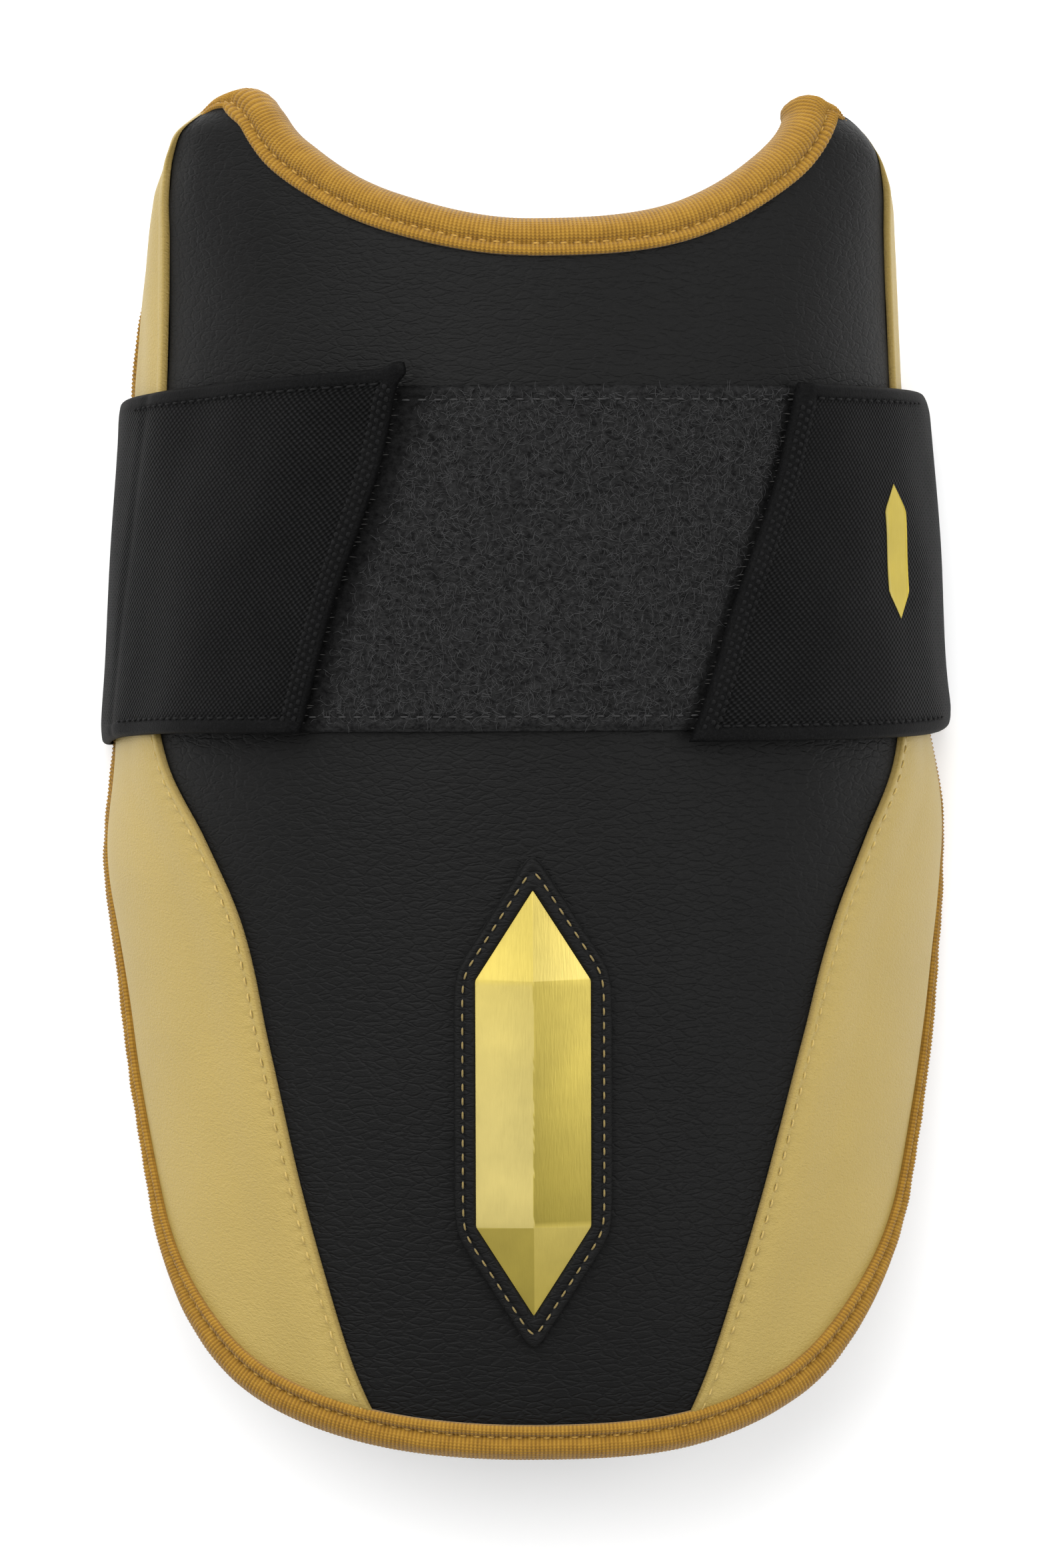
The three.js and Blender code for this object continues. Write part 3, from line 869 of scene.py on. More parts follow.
def black_leather(colour):
    """Black leather: fine creases across the guard that deepen toward the toe, over a soft mottle."""
    paint = Paint("black_leather", specular_ior_level=0.085)
    place = paint.coords(stretch=(2.2, 0.85, 1.5))
    wander = paint.add("TexNoise", {"Vector": place, "Scale": 0.6, "Detail": 2.0}).outputs["Color"]
    bend = (1.6, 1.6, 1.6)
    bent = paint.add("VectorMath", {0: wander, 1: bend, 2: place}, operation="MULTIPLY_ADD").outputs[0]
    flat_above = 0.16
    creases = paint.math("MINIMUM", paint.cells(bent, 1.5, "DISTANCE_TO_EDGE"), flat_above)
    along = paint.add("SeparateXYZ", {"Vector": paint.coords()}).outputs[1]
    deepen = {"Value": along, "From Min": 40.0, "From Max": -110.0, "To Min": 0.55, "To Max": 1.0}
    creases = paint.math("MULTIPLY", creases, paint.add("MapRange", deepen).outputs[0])
    grain = paint.noise(place, size=0.34, detail=2.0, roughness=0.6)
    cloud = paint.noise(paint.coords(), size=30.0, detail=2.0)
    paint.wire("Base Color", paint.mottle(cloud, *tones(colour, 0.94, 1.06)))
    paint.wire("Roughness", paint.math("MULTIPLY_ADD", grain, 0.2, 0.42))
    paint.wire("Normal", paint.bump(creases, depth=0.72, after=paint.bump(grain, depth=0.1)))
    return paint.material


def gold_leather(colour):
    """Gold leather: a fine slanted grain, with painted shade on the folded edge's lip at the seam and a
    faint line of it by the stitches.
    """
    paint = Paint("gold_leather", roughness=0.48, specular_ior_level=0.35)
    grain = paint.noise(paint.coords((0.9, 0.45, 0.7), turn=35.0), size=0.5, detail=3.0, roughness=0.6)
    creases = paint.noise(paint.coords((1.7, 0.8, 1.2), turn=12.0), size=0.55, detail=3.0, roughness=0.65)
    cloud = paint.noise(paint.coords(), size=30.0, detail=3.0)
    tint = paint.mottle(cloud, *tones(colour, 0.96, 1.04))
    tint = paint.times(tint, paint.ramp(grain, [(0.35, (0.94, 0.94, 0.92)), (0.65, WHITE)]))
    # The ramp of painted shade covers the first 10 mm out from the seam. It is darkest on the fold's lip,
    # with a faint line about 2 mm out by the stitches.
    fold = paint.math("MULTIPLY", paint.value("fold"), 0.1)
    # Painted shade: dark olive on the fold's lip, and a faint dip by the stitch groove.
    stops = [
        (0.0, (0.5, 0.46, 0.32)),
        (0.05, (0.85, 0.83, 0.75)),
        (0.1, WHITE),
        (0.17, WHITE),
        (0.2, (0.97, 0.96, 0.93)),
        (0.24, WHITE),
    ]
    paint.wire("Base Color", paint.times(tint, paint.ramp(fold, stops)))
    paint.wire("Normal", paint.bump(creases, depth=0.17, after=paint.bump(grain, depth=0.11)))
    return paint.material


def rib_knit():
    """Ochre rib knit: painted shade in the valleys between the ribs and in the sewn groove's stitch holes,
    and fine loops along each rib.
    """
    paint = Paint("rib_knit", roughness=0.75, specular_ior_level=0.2, sheen_weight=0.15)
    v = paint.places()[1]
    loop_pitch = 0.55
    loops = paint.math("SINE", paint.math("MULTIPLY", v, 2 * math.pi / loop_pitch))
    blotch = paint.noise(paint.coords(), size=3.0, roughness=0.7)
    # The rib wave darkens the valleys, which is painted shade, mixed with a random blotch of tone.
    rib = paint.math("MULTIPLY_ADD", paint.value("rib"), 0.36, paint.math("MULTIPLY", blotch, 0.9))
    stops = [(0.05, (0.175, 0.084, 0.0065)), (0.45, (0.265, 0.134, 0.011)), (0.85, (0.335, 0.182, 0.019))]
    # Painted shade along the sewn groove, darkest at the stitch holes.
    shade = paint.ramp(paint.value("groove"), [(0.1, WHITE), (0.9, (0.74, 0.7, 0.63))])
    paint.wire("Base Color", paint.times(paint.ramp(rib, stops), shade))
    paint.wire("Normal", paint.bump(loops, depth=0.05, strength=0.7))
    return paint.material


def thread_paint(name, colour, sheen=0.2):
    """Spun thread: a sheen and a little unevenness."""
    paint = Paint(name, roughness=0.7, specular_ior_level=sheen, sheen_weight=sheen)
    uneven = paint.noise(paint.coords(), size=0.6, detail=3.0, roughness=0.7)
    paint.wire("Base Color", paint.mottle(uneven, *tones(colour, 0.75, 1.2)))
    paint.wire("Normal", paint.bump(uneven, depth=0.05))
    return paint.material


def woven_elastic(along, across):
    """Black elastic: raised dots on slanted rows between smooth hems, with painted shade in the hollows of
    the weave.
    """
    paint = Paint("woven_elastic", roughness=0.6, specular_ior_level=0.05)
    u, v = paint.places()
    rows = paint.math("COSINE", paint.math("MULTIPLY", u, 2 * math.pi / along))
    columns = paint.math("COSINE", paint.math("MULTIPLY", v, 2 * math.pi / across))
    dots = paint.math("MULTIPLY", rows, columns)
    fuzz = paint.noise(paint.coords(), size=0.5, roughness=0.7)
    open_weave = paint.math("SUBTRACT", 1.0, paint.value("hem"))
    height = paint.math("MULTIPLY_ADD", paint.math("MULTIPLY", dots, open_weave), 0.6, fuzz)
    # Lower parts of the weave get a darker colour: painted shade in its hollows, over a random fuzz.
    stops = [(0.1, grey(0.0009)), (0.5, (0.003, 0.003, 0.0031)), (0.95, (0.0105, 0.0105, 0.0107))]
    tint = paint.ramp(height, stops)
    patch = paint.noise(paint.coords(), size=9.0, detail=3.0)
    paint.wire("Base Color", paint.times(tint, paint.mottle(patch, grey(0.85), grey(1.15))))
    paint.wire("Normal", paint.bump(height, depth=0.24))
    return paint.material


def brushed_pile():
    """Dark grey loop pile, matted, with painted shadow beside the strap's ends, where they press it down
    and stand off over it.
    """
    paint = Paint("brushed_pile", roughness=0.95, specular_ior_level=0.1)
    mat = paint.noise(paint.coords((1.2, 0.9, 1.0)), size=0.9, detail=6.0, roughness=0.75)
    colour = paint.ramp(mat, [(0.36, (0.0028, 0.0028, 0.0029)), (0.64, (0.022, 0.022, 0.0222))])
    # Painted shadow beside the strap's ends.
    shade = paint.ramp(paint.value("matted"), [(0.0, WHITE), (1.0, grey(0.42))])
    paint.wire("Base Color", paint.times(colour, shade))
    paint.wire("Normal", paint.bump(mat, depth=0.4))
    return paint.material


def lining_knit():
    """Black knit lining: small upright loops."""
    paint = Paint("lining_knit", roughness=0.85, specular_ior_level=0.2, sheen_weight=0.1)
    loops = paint.cells(paint.coords((0.8, 1.3, 1.0)), 1.1)
    patch = paint.noise(paint.coords(), size=12.0, detail=3.0)
    paint.wire("Base Color", paint.mottle(patch, (0.012, 0.012, 0.013), (0.02, 0.02, 0.021)))
    paint.wire("Normal", paint.bump(loops, depth=0.3))
    return paint.material


def hook_nylon():
    """Moulded black nylon."""
    paint = Paint("hook_nylon", roughness=0.6, specular_ior_level=0.1)
    uneven = paint.noise(paint.coords(), size=1.2, detail=3.0)
    paint.wire("Base Color", paint.mottle(uneven, grey(0.004), grey(0.008)))
    paint.wire("Normal", paint.bump(uneven, depth=0.1))
    return paint.material


def gold_foil(name, colour, roughness, facets=False):
    """Gold foil: lightly brushed along the badge, a little uneven, and with painted light and shade facet
    by facet if asked.
    """
    paint = Paint(name, metallic=0.55)
    brush = paint.noise(paint.coords((0.5, 6.0, 1.0)), size=0.6, detail=3.0, roughness=0.6)
    cloud = paint.noise(paint.coords(), size=11.0, detail=3.0)
    tint = paint.mottle(cloud, *tones(colour, 0.9, 1.08))
    if facets:
        # Painted shade on some facets, and painted highlight and reflection on others.
        stops = [(0.0, (0.5, 0.5, 0.3)), (0.5, WHITE), (1.0, (1.25, 1.3, 2.2))]
        tint = paint.times(tint, paint.ramp(paint.value("tone"), stops))
    paint.wire("Base Color", tint)
    paint.wire("Roughness", paint.math("MULTIPLY_ADD", brush, 0.2, roughness))
    paint.wire("Normal", paint.bump(brush, depth=0.03))
    return paint.material


def floor_paint():
    """White paper with a faint tooth, which glows a little so that shadows on it stay light."""
    paint = Paint("floor_paper", roughness=0.9, specular_ior_level=0.1, emission_strength=0.1)
    tooth = paint.noise(paint.coords(), size=2.0, detail=3.0)
    paint.wire("Base Color", paint.mottle(tooth, grey(0.95), grey(0.96)))
    return paint.material


def strap_cut(end, v):
    """The angle of a strap end's slanted cut at a share v from its low to its high edge.

    It wanders along a sine, and the ear pushes it out in a bell near the high corner.
    """
    wander = CUT_WANDER * np.sin(2 * np.pi * (v * CUT_WANDER_TURNS + CUT_WANDER_SHIFT * end.side))
    ear = np.degrees(end.ear / SECTIONS[:, HALF_WIDTH].mean())
    ear = ear * bell((1.0 - v) * STRAP_STOCK_WIDTH - EAR_WIDTH, EAR_WIDTH)
    return mix(end.low_angle, end.high_angle, v) + wander - ear


def strap_edges(end, angle):
    """The y of the strap's low and high edge at an angle.

    Each runs from its y at the cut to its y at the side: the high edge by the share of the way, the low
    edge by that share to the fourth. The cut's high corner stands up in an ear, a bell along the edge.
    """
    share = np.clip((angle - end.high_angle) / (SIDE_ANGLE - end.high_angle), 0.0, 1.0)
    past_corner = np.radians(angle - end.high_angle) * STRAP_RADIUS
    ear = EAR_RISE * end.ear * bell(past_corner - EAR_RISE_AT, EAR_RISE_WIDTH)
    return mix(end.cut_low, end.side_low, share**4), mix(end.cut_high, end.side_high, share) + ear


def hem_at(from_edge, hem_width):
    """1 on the hem along an edge of the strap and 0 on the open weave."""
    return 1.0 - ease((from_edge - hem_width + HEM_LEAD) / HEM_BLEND)


@dataclass
class StrapSpots:
    """Places on one half of the strap.

    Each has a y, its distances from the cut and from the nearest edge, and the inner face's lift.
    """

    y: np.ndarray
    from_cut: np.ndarray
    from_edge: np.ndarray
    lift: np.ndarray


def strap_spots(end, angle, v):
    """Places at an angle and a share v of the width.

    The inner face lies high over the hook tab and low at the side; the cut's high corner curls up, the
    edges tuck in round the side, and the band is a little uneven.
    """
    low, high = strap_edges(end, angle)
    y = mix(low, high, v)
    cut = strap_cut(end, v)
    from_cut = np.radians(angle - cut) * column_at(SECTIONS, HALF_WIDTH, y)
    from_edge = np.minimum(y - low, high - y)
    front = 1.0 - ease((angle - BAND_FRONT) / BAND_FRONT_RAMP)
    uneven = waves(angle * MM_PER_DEGREE, y, BAND_SEED + end.side, BAND_UNEVEN_LENGTH)
    lift = mix(STRAP_END_LIFT, end.side_lift, ease((angle - cut - TAB_ANGLE) / STRAP_RAMP))
    lift = lift + end.curl * (1.0 - ease(np.hypot(from_cut, high - y) / CURL_REACH))
    lift = lift - end.droop * (1.0 - ease(from_cut / DROOP_REACH))
    lift = lift + BAND_UNEVEN * uneven * front
    lift = lift - end.pull(from_edge) * ease((angle - PULL_FROM) / PULL_RAMP)
    return StrapSpots(y, from_cut, from_edge, lift)


@dataclass
class StrapRows:
    """Points of the strap's outer and inner face from one cut round the back to the other, and its hems."""

    outer: np.ndarray
    inner: np.ndarray
    hem: np.ndarray


def strap_arch(end, v, hem_width, count):
    """The strap from its cut to the shell's side: rounded edges, raised hems and a band along the cut."""
    share = np.linspace(0.0, 1.0, count)[:, None] ** CUT_CROWDING
    angle = mix(strap_cut(end, v)[None], SIDE_ANGLE, share)
    spots = strap_spots(end, angle, v[None])
    band = 1.0 - ease((spots.from_cut - CUT_BAND) / CUT_BAND_BLEND)
    hem = np.maximum(hem_at(spots.from_edge, hem_width), band)
    half = STRAP_THICK / 2
    full = round_over(np.minimum(spots.from_edge, spots.from_cut) / half)
    groove = HEM_GROOVE * bell(spots.from_edge - hem_width, HEM_GROOVE_WIDTH)
    groove = groove + CUT_GROOVE * bell(spots.from_cut - CUT_GROOVE_AT, CUT_GROOVE_WIDTH)
    groove = groove + end.crease * bell(angle - mix(CREASE_LOW, CREASE_HIGH, v[None]), CREASE_WIDTH)
    relief = (HEM_RAISE * hem - groove) * full * (1.0 - ease((angle - RELIEF_END) / RELIEF_RAMP))
    outer = end.face(angle, spots.y, spots.lift + half * (1.0 + full) + relief)
    inner = end.face(angle, spots.y, spots.lift + half * (1.0 - full))
    return StrapRows(outer, inner, hem)


def strap_back(v, hem_width, corner_count, back_count):
    """The strap behind the shell: round a corner at each side and flat on the floor between them."""
    left, right = STRAP_ENDS
    flat = np.linspace(-1.0, 1.0, back_count)[1:-1]
    across = np.concatenate([[-1.0] * corner_count, flat, [1.0] * corner_count])[:, None]
    turn = np.linspace(0.0, np.pi / 2, corner_count)
    turn = np.concatenate([turn, np.full(len(flat), np.pi / 2), turn[::-1]])[:, None]
    rightward = (across + 1) / 2
    low = mix(left.side_low, right.side_low, rightward)
    high = mix(left.side_high, right.side_high, rightward)
    y = mix(low, high, v[None])
    from_edge = np.minimum(y - low, high - y)
    full = round_over(from_edge / (STRAP_THICK / 2))
    spans = [end.half_width(y) + end.side_lift - STRAP_CORNER - end.pull(from_edge) for end in STRAP_ENDS]
    middle = mix(*spans, rightward)
    skins = []
    for way in (1, -1):
        radius = STRAP_CORNER + STRAP_THICK / 2 * (1.0 + way * full)
        x = across * middle + np.sign(across) * radius * np.cos(turn)
        skins.append(np.stack([x, y, STRAP_CORNER + STRAP_THICK - radius * np.sin(turn)], -1))
    return StrapRows(*skins, hem_at(from_edge, hem_width))


def strap_rows(v, hem_width, arch_count=150, corner_count=12, back_count=26):
    """The whole strap at shares v of its width."""
    left, right = (strap_arch(end, v, hem_width, arch_count) for end in STRAP_ENDS)
    back = strap_back(v, hem_width, corner_count, back_count)
    runs = [
        (getattr(left, name), getattr(back, name), getattr(right, name)[::-1])
        for name in StrapRows.__annotations__
    ]
    return StrapRows(*[np.concatenate(run) for run in runs])


def badge_outline(grow, per_edge, soften=0):
    """The badge's six-sided outline grown by a border, about its middle, with its corners softened."""
    drop = (BADGE_HALF_HEIGHT - BADGE_SHOULDER) / BADGE_HALF_WIDTH
    tip = BADGE_HALF_HEIGHT + grow * math.hypot(1.0, drop)
    side = BADGE_HALF_WIDTH + grow
    shoulder = tip - side * drop
    half = np.array([(0.0, tip), (side, shoulder), (side, -shoulder)])
    starts = np.concatenate([half, -half])
    ends = np.roll(starts, -1, axis=0)
    share = np.arange(per_edge)[None, :, None] / per_edge
    loop = mix(starts[:, None], ends[:, None], share).reshape(-1, 2)
    for _ in range(soften):
        loop = (np.roll(loop, 1, axis=0) + 2 * loop + np.roll(loop, -1, axis=0)) / 4
    return loop


def badge_place(loop):
    """Angle and y on the shell of badge points given about the badge's middle."""
    y = BADGE_Y + loop[..., 1]
    return np.degrees(np.arcsin(loop[..., 0] / column_at(SECTIONS, HALF_WIDTH, y))), y


def badge_face(loop, lift):
    """Badge points laid on the shell and raised by lift."""
    return face(*badge_place(loop), lift)


def length_property(label, default, description, least=0.0):
    """A length in metres."""
    return FloatProperty(
        name=label, description=description, default=default, min=least, unit="LENGTH", precision=6
    )


def angle_property(label, degrees, description):
    """A small angle, given in degrees."""
    default = math.radians(degrees)
    return FloatProperty(name=label, description=description, default=default, subtype="ANGLE")


def count_property(label, default, description):
    """A whole number."""
    return IntProperty(name=label, description=description, default=default, min=0)


def colour_property(label, default, description):
    """A colour, as linear red, green and blue."""
    return FloatVectorProperty(
        name=label, description=description, default=default, min=0.0, max=1.0, precision=4, subtype="COLOR"
    )


class ElbowGuardFinish(bpy.types.PropertyGroup):
    """Sizes of the guard's finish."""

    rib_pitch: length_property("Rib Pitch", 0.0007, "From one rib of the binding's knit to the next")
    rib_depth: length_property("Rib Depth", 0.00013, "Height of a rib above and below the binding's face")
    fold_height: length_property("Fold Height", 0.001, "Height of the side panels' folded edge")
    fold_stitch: length_property("Fold Stitch", 0.0029, "Step of the stitches along the folded edge")
    binding_stitch: length_property("Binding Stitch", 0.0024, "Step of the stitches along the binding")
    loop_stitch: length_property("Loop Stitch", 0.0028, "Step of the stitches along the loop panel")
    hem_width: length_property("Hem Width", 0.0026, "Width of the strap's hems")
    hem_stitch: length_property("Hem Stitch", 0.0023, "Step of the stitches along the strap's hems")
    weave_along: length_property("Weave Along", 0.00112, "Step of the strap's weave along it")
    weave_across: length_property("Weave Across", 0.001, "Step of the strap's weave across it")
    hook_step: length_property("Hook Step", 0.0011, "Step of the hooks that show past the strap's cut ends")
    fibres: count_property("Fibres", 11000, "Fibres that stand on the loop panel")
    seed: count_property("Seed", 7, "Start of the random numbers")


class ElbowGuardColours(bpy.types.PropertyGroup):
    """Colours of the guard's leather, threads, pile and foil."""

    black_leather: colour_property("Black Leather", (0.0062, 0.0062, 0.0061), "Front panel and badge frame")
    gold_leather: colour_property("Gold Leather", (0.365, 0.264, 0.0705), "Side panels")
    gold_thread: colour_property("Gold Thread", (0.41, 0.295, 0.088), "Stitches along the side panels")
    ochre_thread: colour_property("Ochre Thread", (0.38, 0.218, 0.038), "Stitches along the binding")
    pile_fibre: colour_property("Pile Fibre", (0.062, 0.062, 0.063), "Fibres on the loop panel")
    grey_thread: colour_property("Grey Thread", (0.034, 0.034, 0.034), "Stitches along the loop panel")
    hooks: colour_property("Hooks", (0.036, 0.035, 0.033), "Hooks that show past the strap's cut ends")
    strap_thread: colour_property("Strap Thread", (0.0085, 0.0085, 0.0086), "Stitches along its hems")
    strap_yarn: colour_property("Strap Yarn", (0.0074, 0.0074, 0.0076), "Knots along the strap's cut ends")
    mark_ink: colour_property("Mark Ink", (0.42, 0.325, 0.04), "Mark printed on the strap")
    badge_thread: colour_property("Badge Thread", (0.2, 0.145, 0.045), "Stitches round the badge")
    badge_foil: colour_property("Badge Foil", (0.46, 0.36, 0.07), "The badge's inlay")


class ElbowGuardView(bpy.types.PropertyGroup):
    """Where the camera stands."""

    yaw: angle_property("Yaw", 1.5, "Turn toward the left side")
    pitch: angle_property("Pitch", 1.0, "Tilt toward the neck")
    roll: angle_property("Roll", -0.3, "Turn in the picture")
    distance: length_property("Distance", 1.8, "From the guard's middle")
    lens: FloatProperty(
        name="Lens", description="Focal length in mm", default=239.1, subtype="DISTANCE_CAMERA"
    )
    aim_x: length_property("Aim X", -0.00085, "Sideways aim off the middle", least=-1.0)
    aim_y: length_property("Aim Y", -0.0021, "Upward aim off the middle", least=-1.0)


def finish_mm(context, name):
    """One of the finish's lengths in millimetres."""
    return getattr(context.scene.elbow_guard_finish, name) / MM


def colour_of(context, name):
    """One of the guard's colours."""
    return tuple(getattr(context.scene.elbow_guard_colours, name))


def stitch_holes(along, step):
    """How far thread pulls the face in: 1 where one stitch meets the next, 0.1 midway along each."""
    return 0.55 + 0.45 * np.cos(2 * np.pi * along / step)[:, None]


class ELBOWGUARD_OT_pad(bpy.types.Operator):
    """Builds the foam pad in its knit lining"""

    bl_idname = "elbow_guard.pad"
    bl_label = "Pad"

    around = 150
    outward = 44
    edge_round = 2.0
    sag = 0.5
    sag_length = 26.0
    sag_ramp = 12.0

    def execute(self, context):
        ribs = ring_ribs(self.around)
        r = np.linspace(0.0, 1.0, self.outward)[None] * ribs.pad_rim()[:, None]
        inset = ribs.inset(r)
        uneven = waves(*ribs.place(r), seed=3, longest=self.sag_length)
        soft = self.sag * uneven * ease(inset / self.sag_ramp)
        edge = round_over((inset - EDGE_INSET) / self.edge_round)
        middle = (PAD_TOP - pad_depth(inset)) / 2
        top = ribs.point(r, mix(middle, PAD_TOP, edge))
        low = ribs.point(r, mix(middle, -pad_depth(inset) + soft, edge))
        shape = wall(top, low, ring=True, filled=True)
        piece = make_piece("pad", "pad_body", shape, lining_knit())
        return {"FINISHED"}


class ELBOWGUARD_OT_front_panel(bpy.types.Operator):
    """Builds the black leather panel down the front"""

    bl_idname = "elbow_guard.front_panel"
    bl_label = "Front Panel"

    around = 260
    outward = 60
    settle = 0.05
    uneven = 0.12
    uneven_length = 24.0
    uneven_ramp = 15.0
    under_drop = 0.5
    under_ramp = 0.8

    def execute(self, context):
        ribs = ring_ribs(self.around)
        end = np.minimum(ribs.rim(), ribs.seam + SEAM_OVERLAP / ribs.length)
        r = np.linspace(0.0, 1.0, self.outward)[None] * end[:, None]
        soft = self.uneven * waves(*ribs.place(r), seed=4, longest=self.uneven_length)
        lift = soft * ease(ribs.inset(r) / self.uneven_ramp) - self.settle
        past_seam = (r - ribs.seam[:, None]) * ribs.length[:, None]
        lift = lift - self.under_drop * ease(past_seam / self.under_ramp)
        shape = wall(ribs.point(r, lift), ribs.point(r, lift - SKIN), ring=True, filled=True)
        leather = black_leather(colour_of(context, "black_leather"))
        piece = make_piece("front_leather", "front_panel", shape, leather)
        return {"FINISHED"}


class SideSeam:
    """A side panel's ribs at even steps along the seam, and the panel's face beside it.

    The sizes are depths and distances from the seam; under the binding they count from the outer edge.
    """

    ahead = 0.01
    least_length = 1e-6
    stitch_at = 1.65
    groove_depth = 0.3
    groove_width = 0.4
    pucker = 0.09
    pucker_past = 1.1
    pucker_width = 0.9
    sewn_past = 10.0
    sewn_fade = 20.0
    fold_round = 0.7
    fold_settle = 0.25
    fold_crest = 1.2
    slope_from = 4.2
    slope_width = 9.0
    binding_from = 3.5
    binding_ramp = 6.0
    uneven = 0.14
    uneven_length = 30.0
    uneven_from = 4.0
    uneven_ramp = 8.0
    clear = 0.03

    def __init__(self, side, count):
        first, last = seam_span(side)
        share = even_shares(count, first, last, side, of=lambda ribs: np.minimum(ribs.seam, ribs.rim()))
        self.ribs = ribs_at(share, side)
        self.start = np.minimum(self.ribs.seam, self.ribs.rim())
        path = self.ribs.point(self.start[:, None], 0.0)[:, 0]
        self.along = lengths_along(path)
        outward = self.ribs.point(self.start[:, None] + self.ahead, 0.0)[:, 0] - path
        tangent = unit(np.gradient(path, axis=0))
        self.squareness = np.linalg.norm(np.cross(tangent, unit(outward)), axis=1)

    def distance(self, r):
        """How far r lies from the seam, square to it."""
        return (r - self.start[:, None]) * (self.ribs.length * self.squareness)[:, None]

    def r_at(self, distance):
        """The place on each rib that lies a distance from the seam."""
        length = np.maximum(self.ribs.length * self.squareness, self.least_length)
        return self.start[:, None] + distance / length[:, None]

    def sewn(self, r):
        """1 where the fold is stitched down, below the strap, and 0 above it."""
        return 1.0 - ease((self.ribs.place(r)[1] - STRAP_LOW - self.sewn_past) / self.sewn_fade)

    def lift(self, r, height, stitch):
        """The panel's face: a rounded folded edge, a stitched groove, then a slope down to the shell."""
        d = self.distance(r)
        holes = stitch_holes(self.along, stitch)
        settled = self.fold_settle * height * ease((d - self.fold_crest) / self.fold_crest)
        fold = height * round_over(d / self.fold_round) - settled
        groove = self.groove_depth * bell(d - self.stitch_at, self.groove_width) * holes
        past_stitch = d - self.stitch_at - self.pucker_past
        groove = groove + self.pucker * bell(past_stitch, self.pucker_width) * (2.0 * holes - 1.0)
        groove = groove * self.sewn(r)
        slope = 1.0 - ease((d - self.slope_from) / self.slope_width)
        soft = self.uneven * waves(*self.ribs.place(r), seed=6, longest=self.uneven_length)
        soft = soft * ease((d - self.uneven_from) / self.uneven_ramp)
        under_binding = ease((self.ribs.inset(r) - self.binding_from) / self.binding_ramp)
        return ((fold - groove) * slope + soft) * under_binding + self.clear


class ELBOWGUARD_OT_side_panels(bpy.types.Operator):
    """Builds the two gold leather panels with their folded, stitched edges"""

    bl_idname = "elbow_guard.side_panels"
    bl_label = "Side Panels"

    rows = 330
    near_columns = 34
    far_columns = 40
    near_width = 8.0
    near_share = 0.6
    under_clear = 0.1
    under_from = 3.0
    under_ramp = 5.0
    stitch_room = 1.5

    def columns(self, seam):
        """Places along each rib from the seam to the rim, close together beside the seam."""
        span = seam.ribs.rim() - seam.start
        near = np.minimum(self.near_width / seam.ribs.length, self.near_share * span)
        close = near[:, None] * np.linspace(0.0, 1.0, self.near_columns)[None]
        far = mix(near[:, None], span[:, None], np.linspace(0.0, 1.0, self.far_columns)[None, 1:])
        return seam.start[:, None] + np.hstack([close, far])

    def topstitches(self, seam, height, stitch):
        """Stitches in the groove, where the panel is wide enough and the fold is sewn down."""
        row = seam.r_at(seam.stitch_at)
        wide = seam.distance(seam.ribs.rim()[:, None])[:, 0] > seam.stitch_at + self.stitch_room
        inside = wide & (seam.sewn(row)[:, 0] > 0.5)
        path = seam.ribs.point(row, seam.lift(row, height, stitch))[inside, 0]
        normals = arch_normal(*(value[:, 0] for value in seam.ribs.place(row)))[inside]
        return stitch_row(path, normals, stitch, fill=0.66, radius=0.2, bow=0.32, sink=0.12)

    def execute(self, context):
        height = finish_mm(context, "fold_height")
        stitch = finish_mm(context, "fold_stitch")
        leather = gold_leather(colour_of(context, "gold_leather"))
        thread = thread_paint("gold_thread", colour_of(context, "gold_thread"))
        for side in (RIGHT, LEFT):
            seam = SideSeam(side, self.rows)
            r = self.columns(seam)
            d = seam.distance(r)
            top = seam.ribs.point(r, seam.lift(r, height, stitch))
            under = (SKIN - self.under_clear) * ease((d - self.under_from) / self.under_ramp)
            # The distance from the seam drives the painted shade on the gold leather's fold.
            shape = wall(top, seam.ribs.point(r, -under), values={"fold": d})
            name = SIDE_NAME[side]
            node = "side_panel_" + name
            piece = make_piece("leather_" + name, node, shape, leather)
            stitches = self.topstitches(seam, height, stitch)
            make_piece("topstitch_" + name, node, stitches, thread)
        return {"FINISHED"}


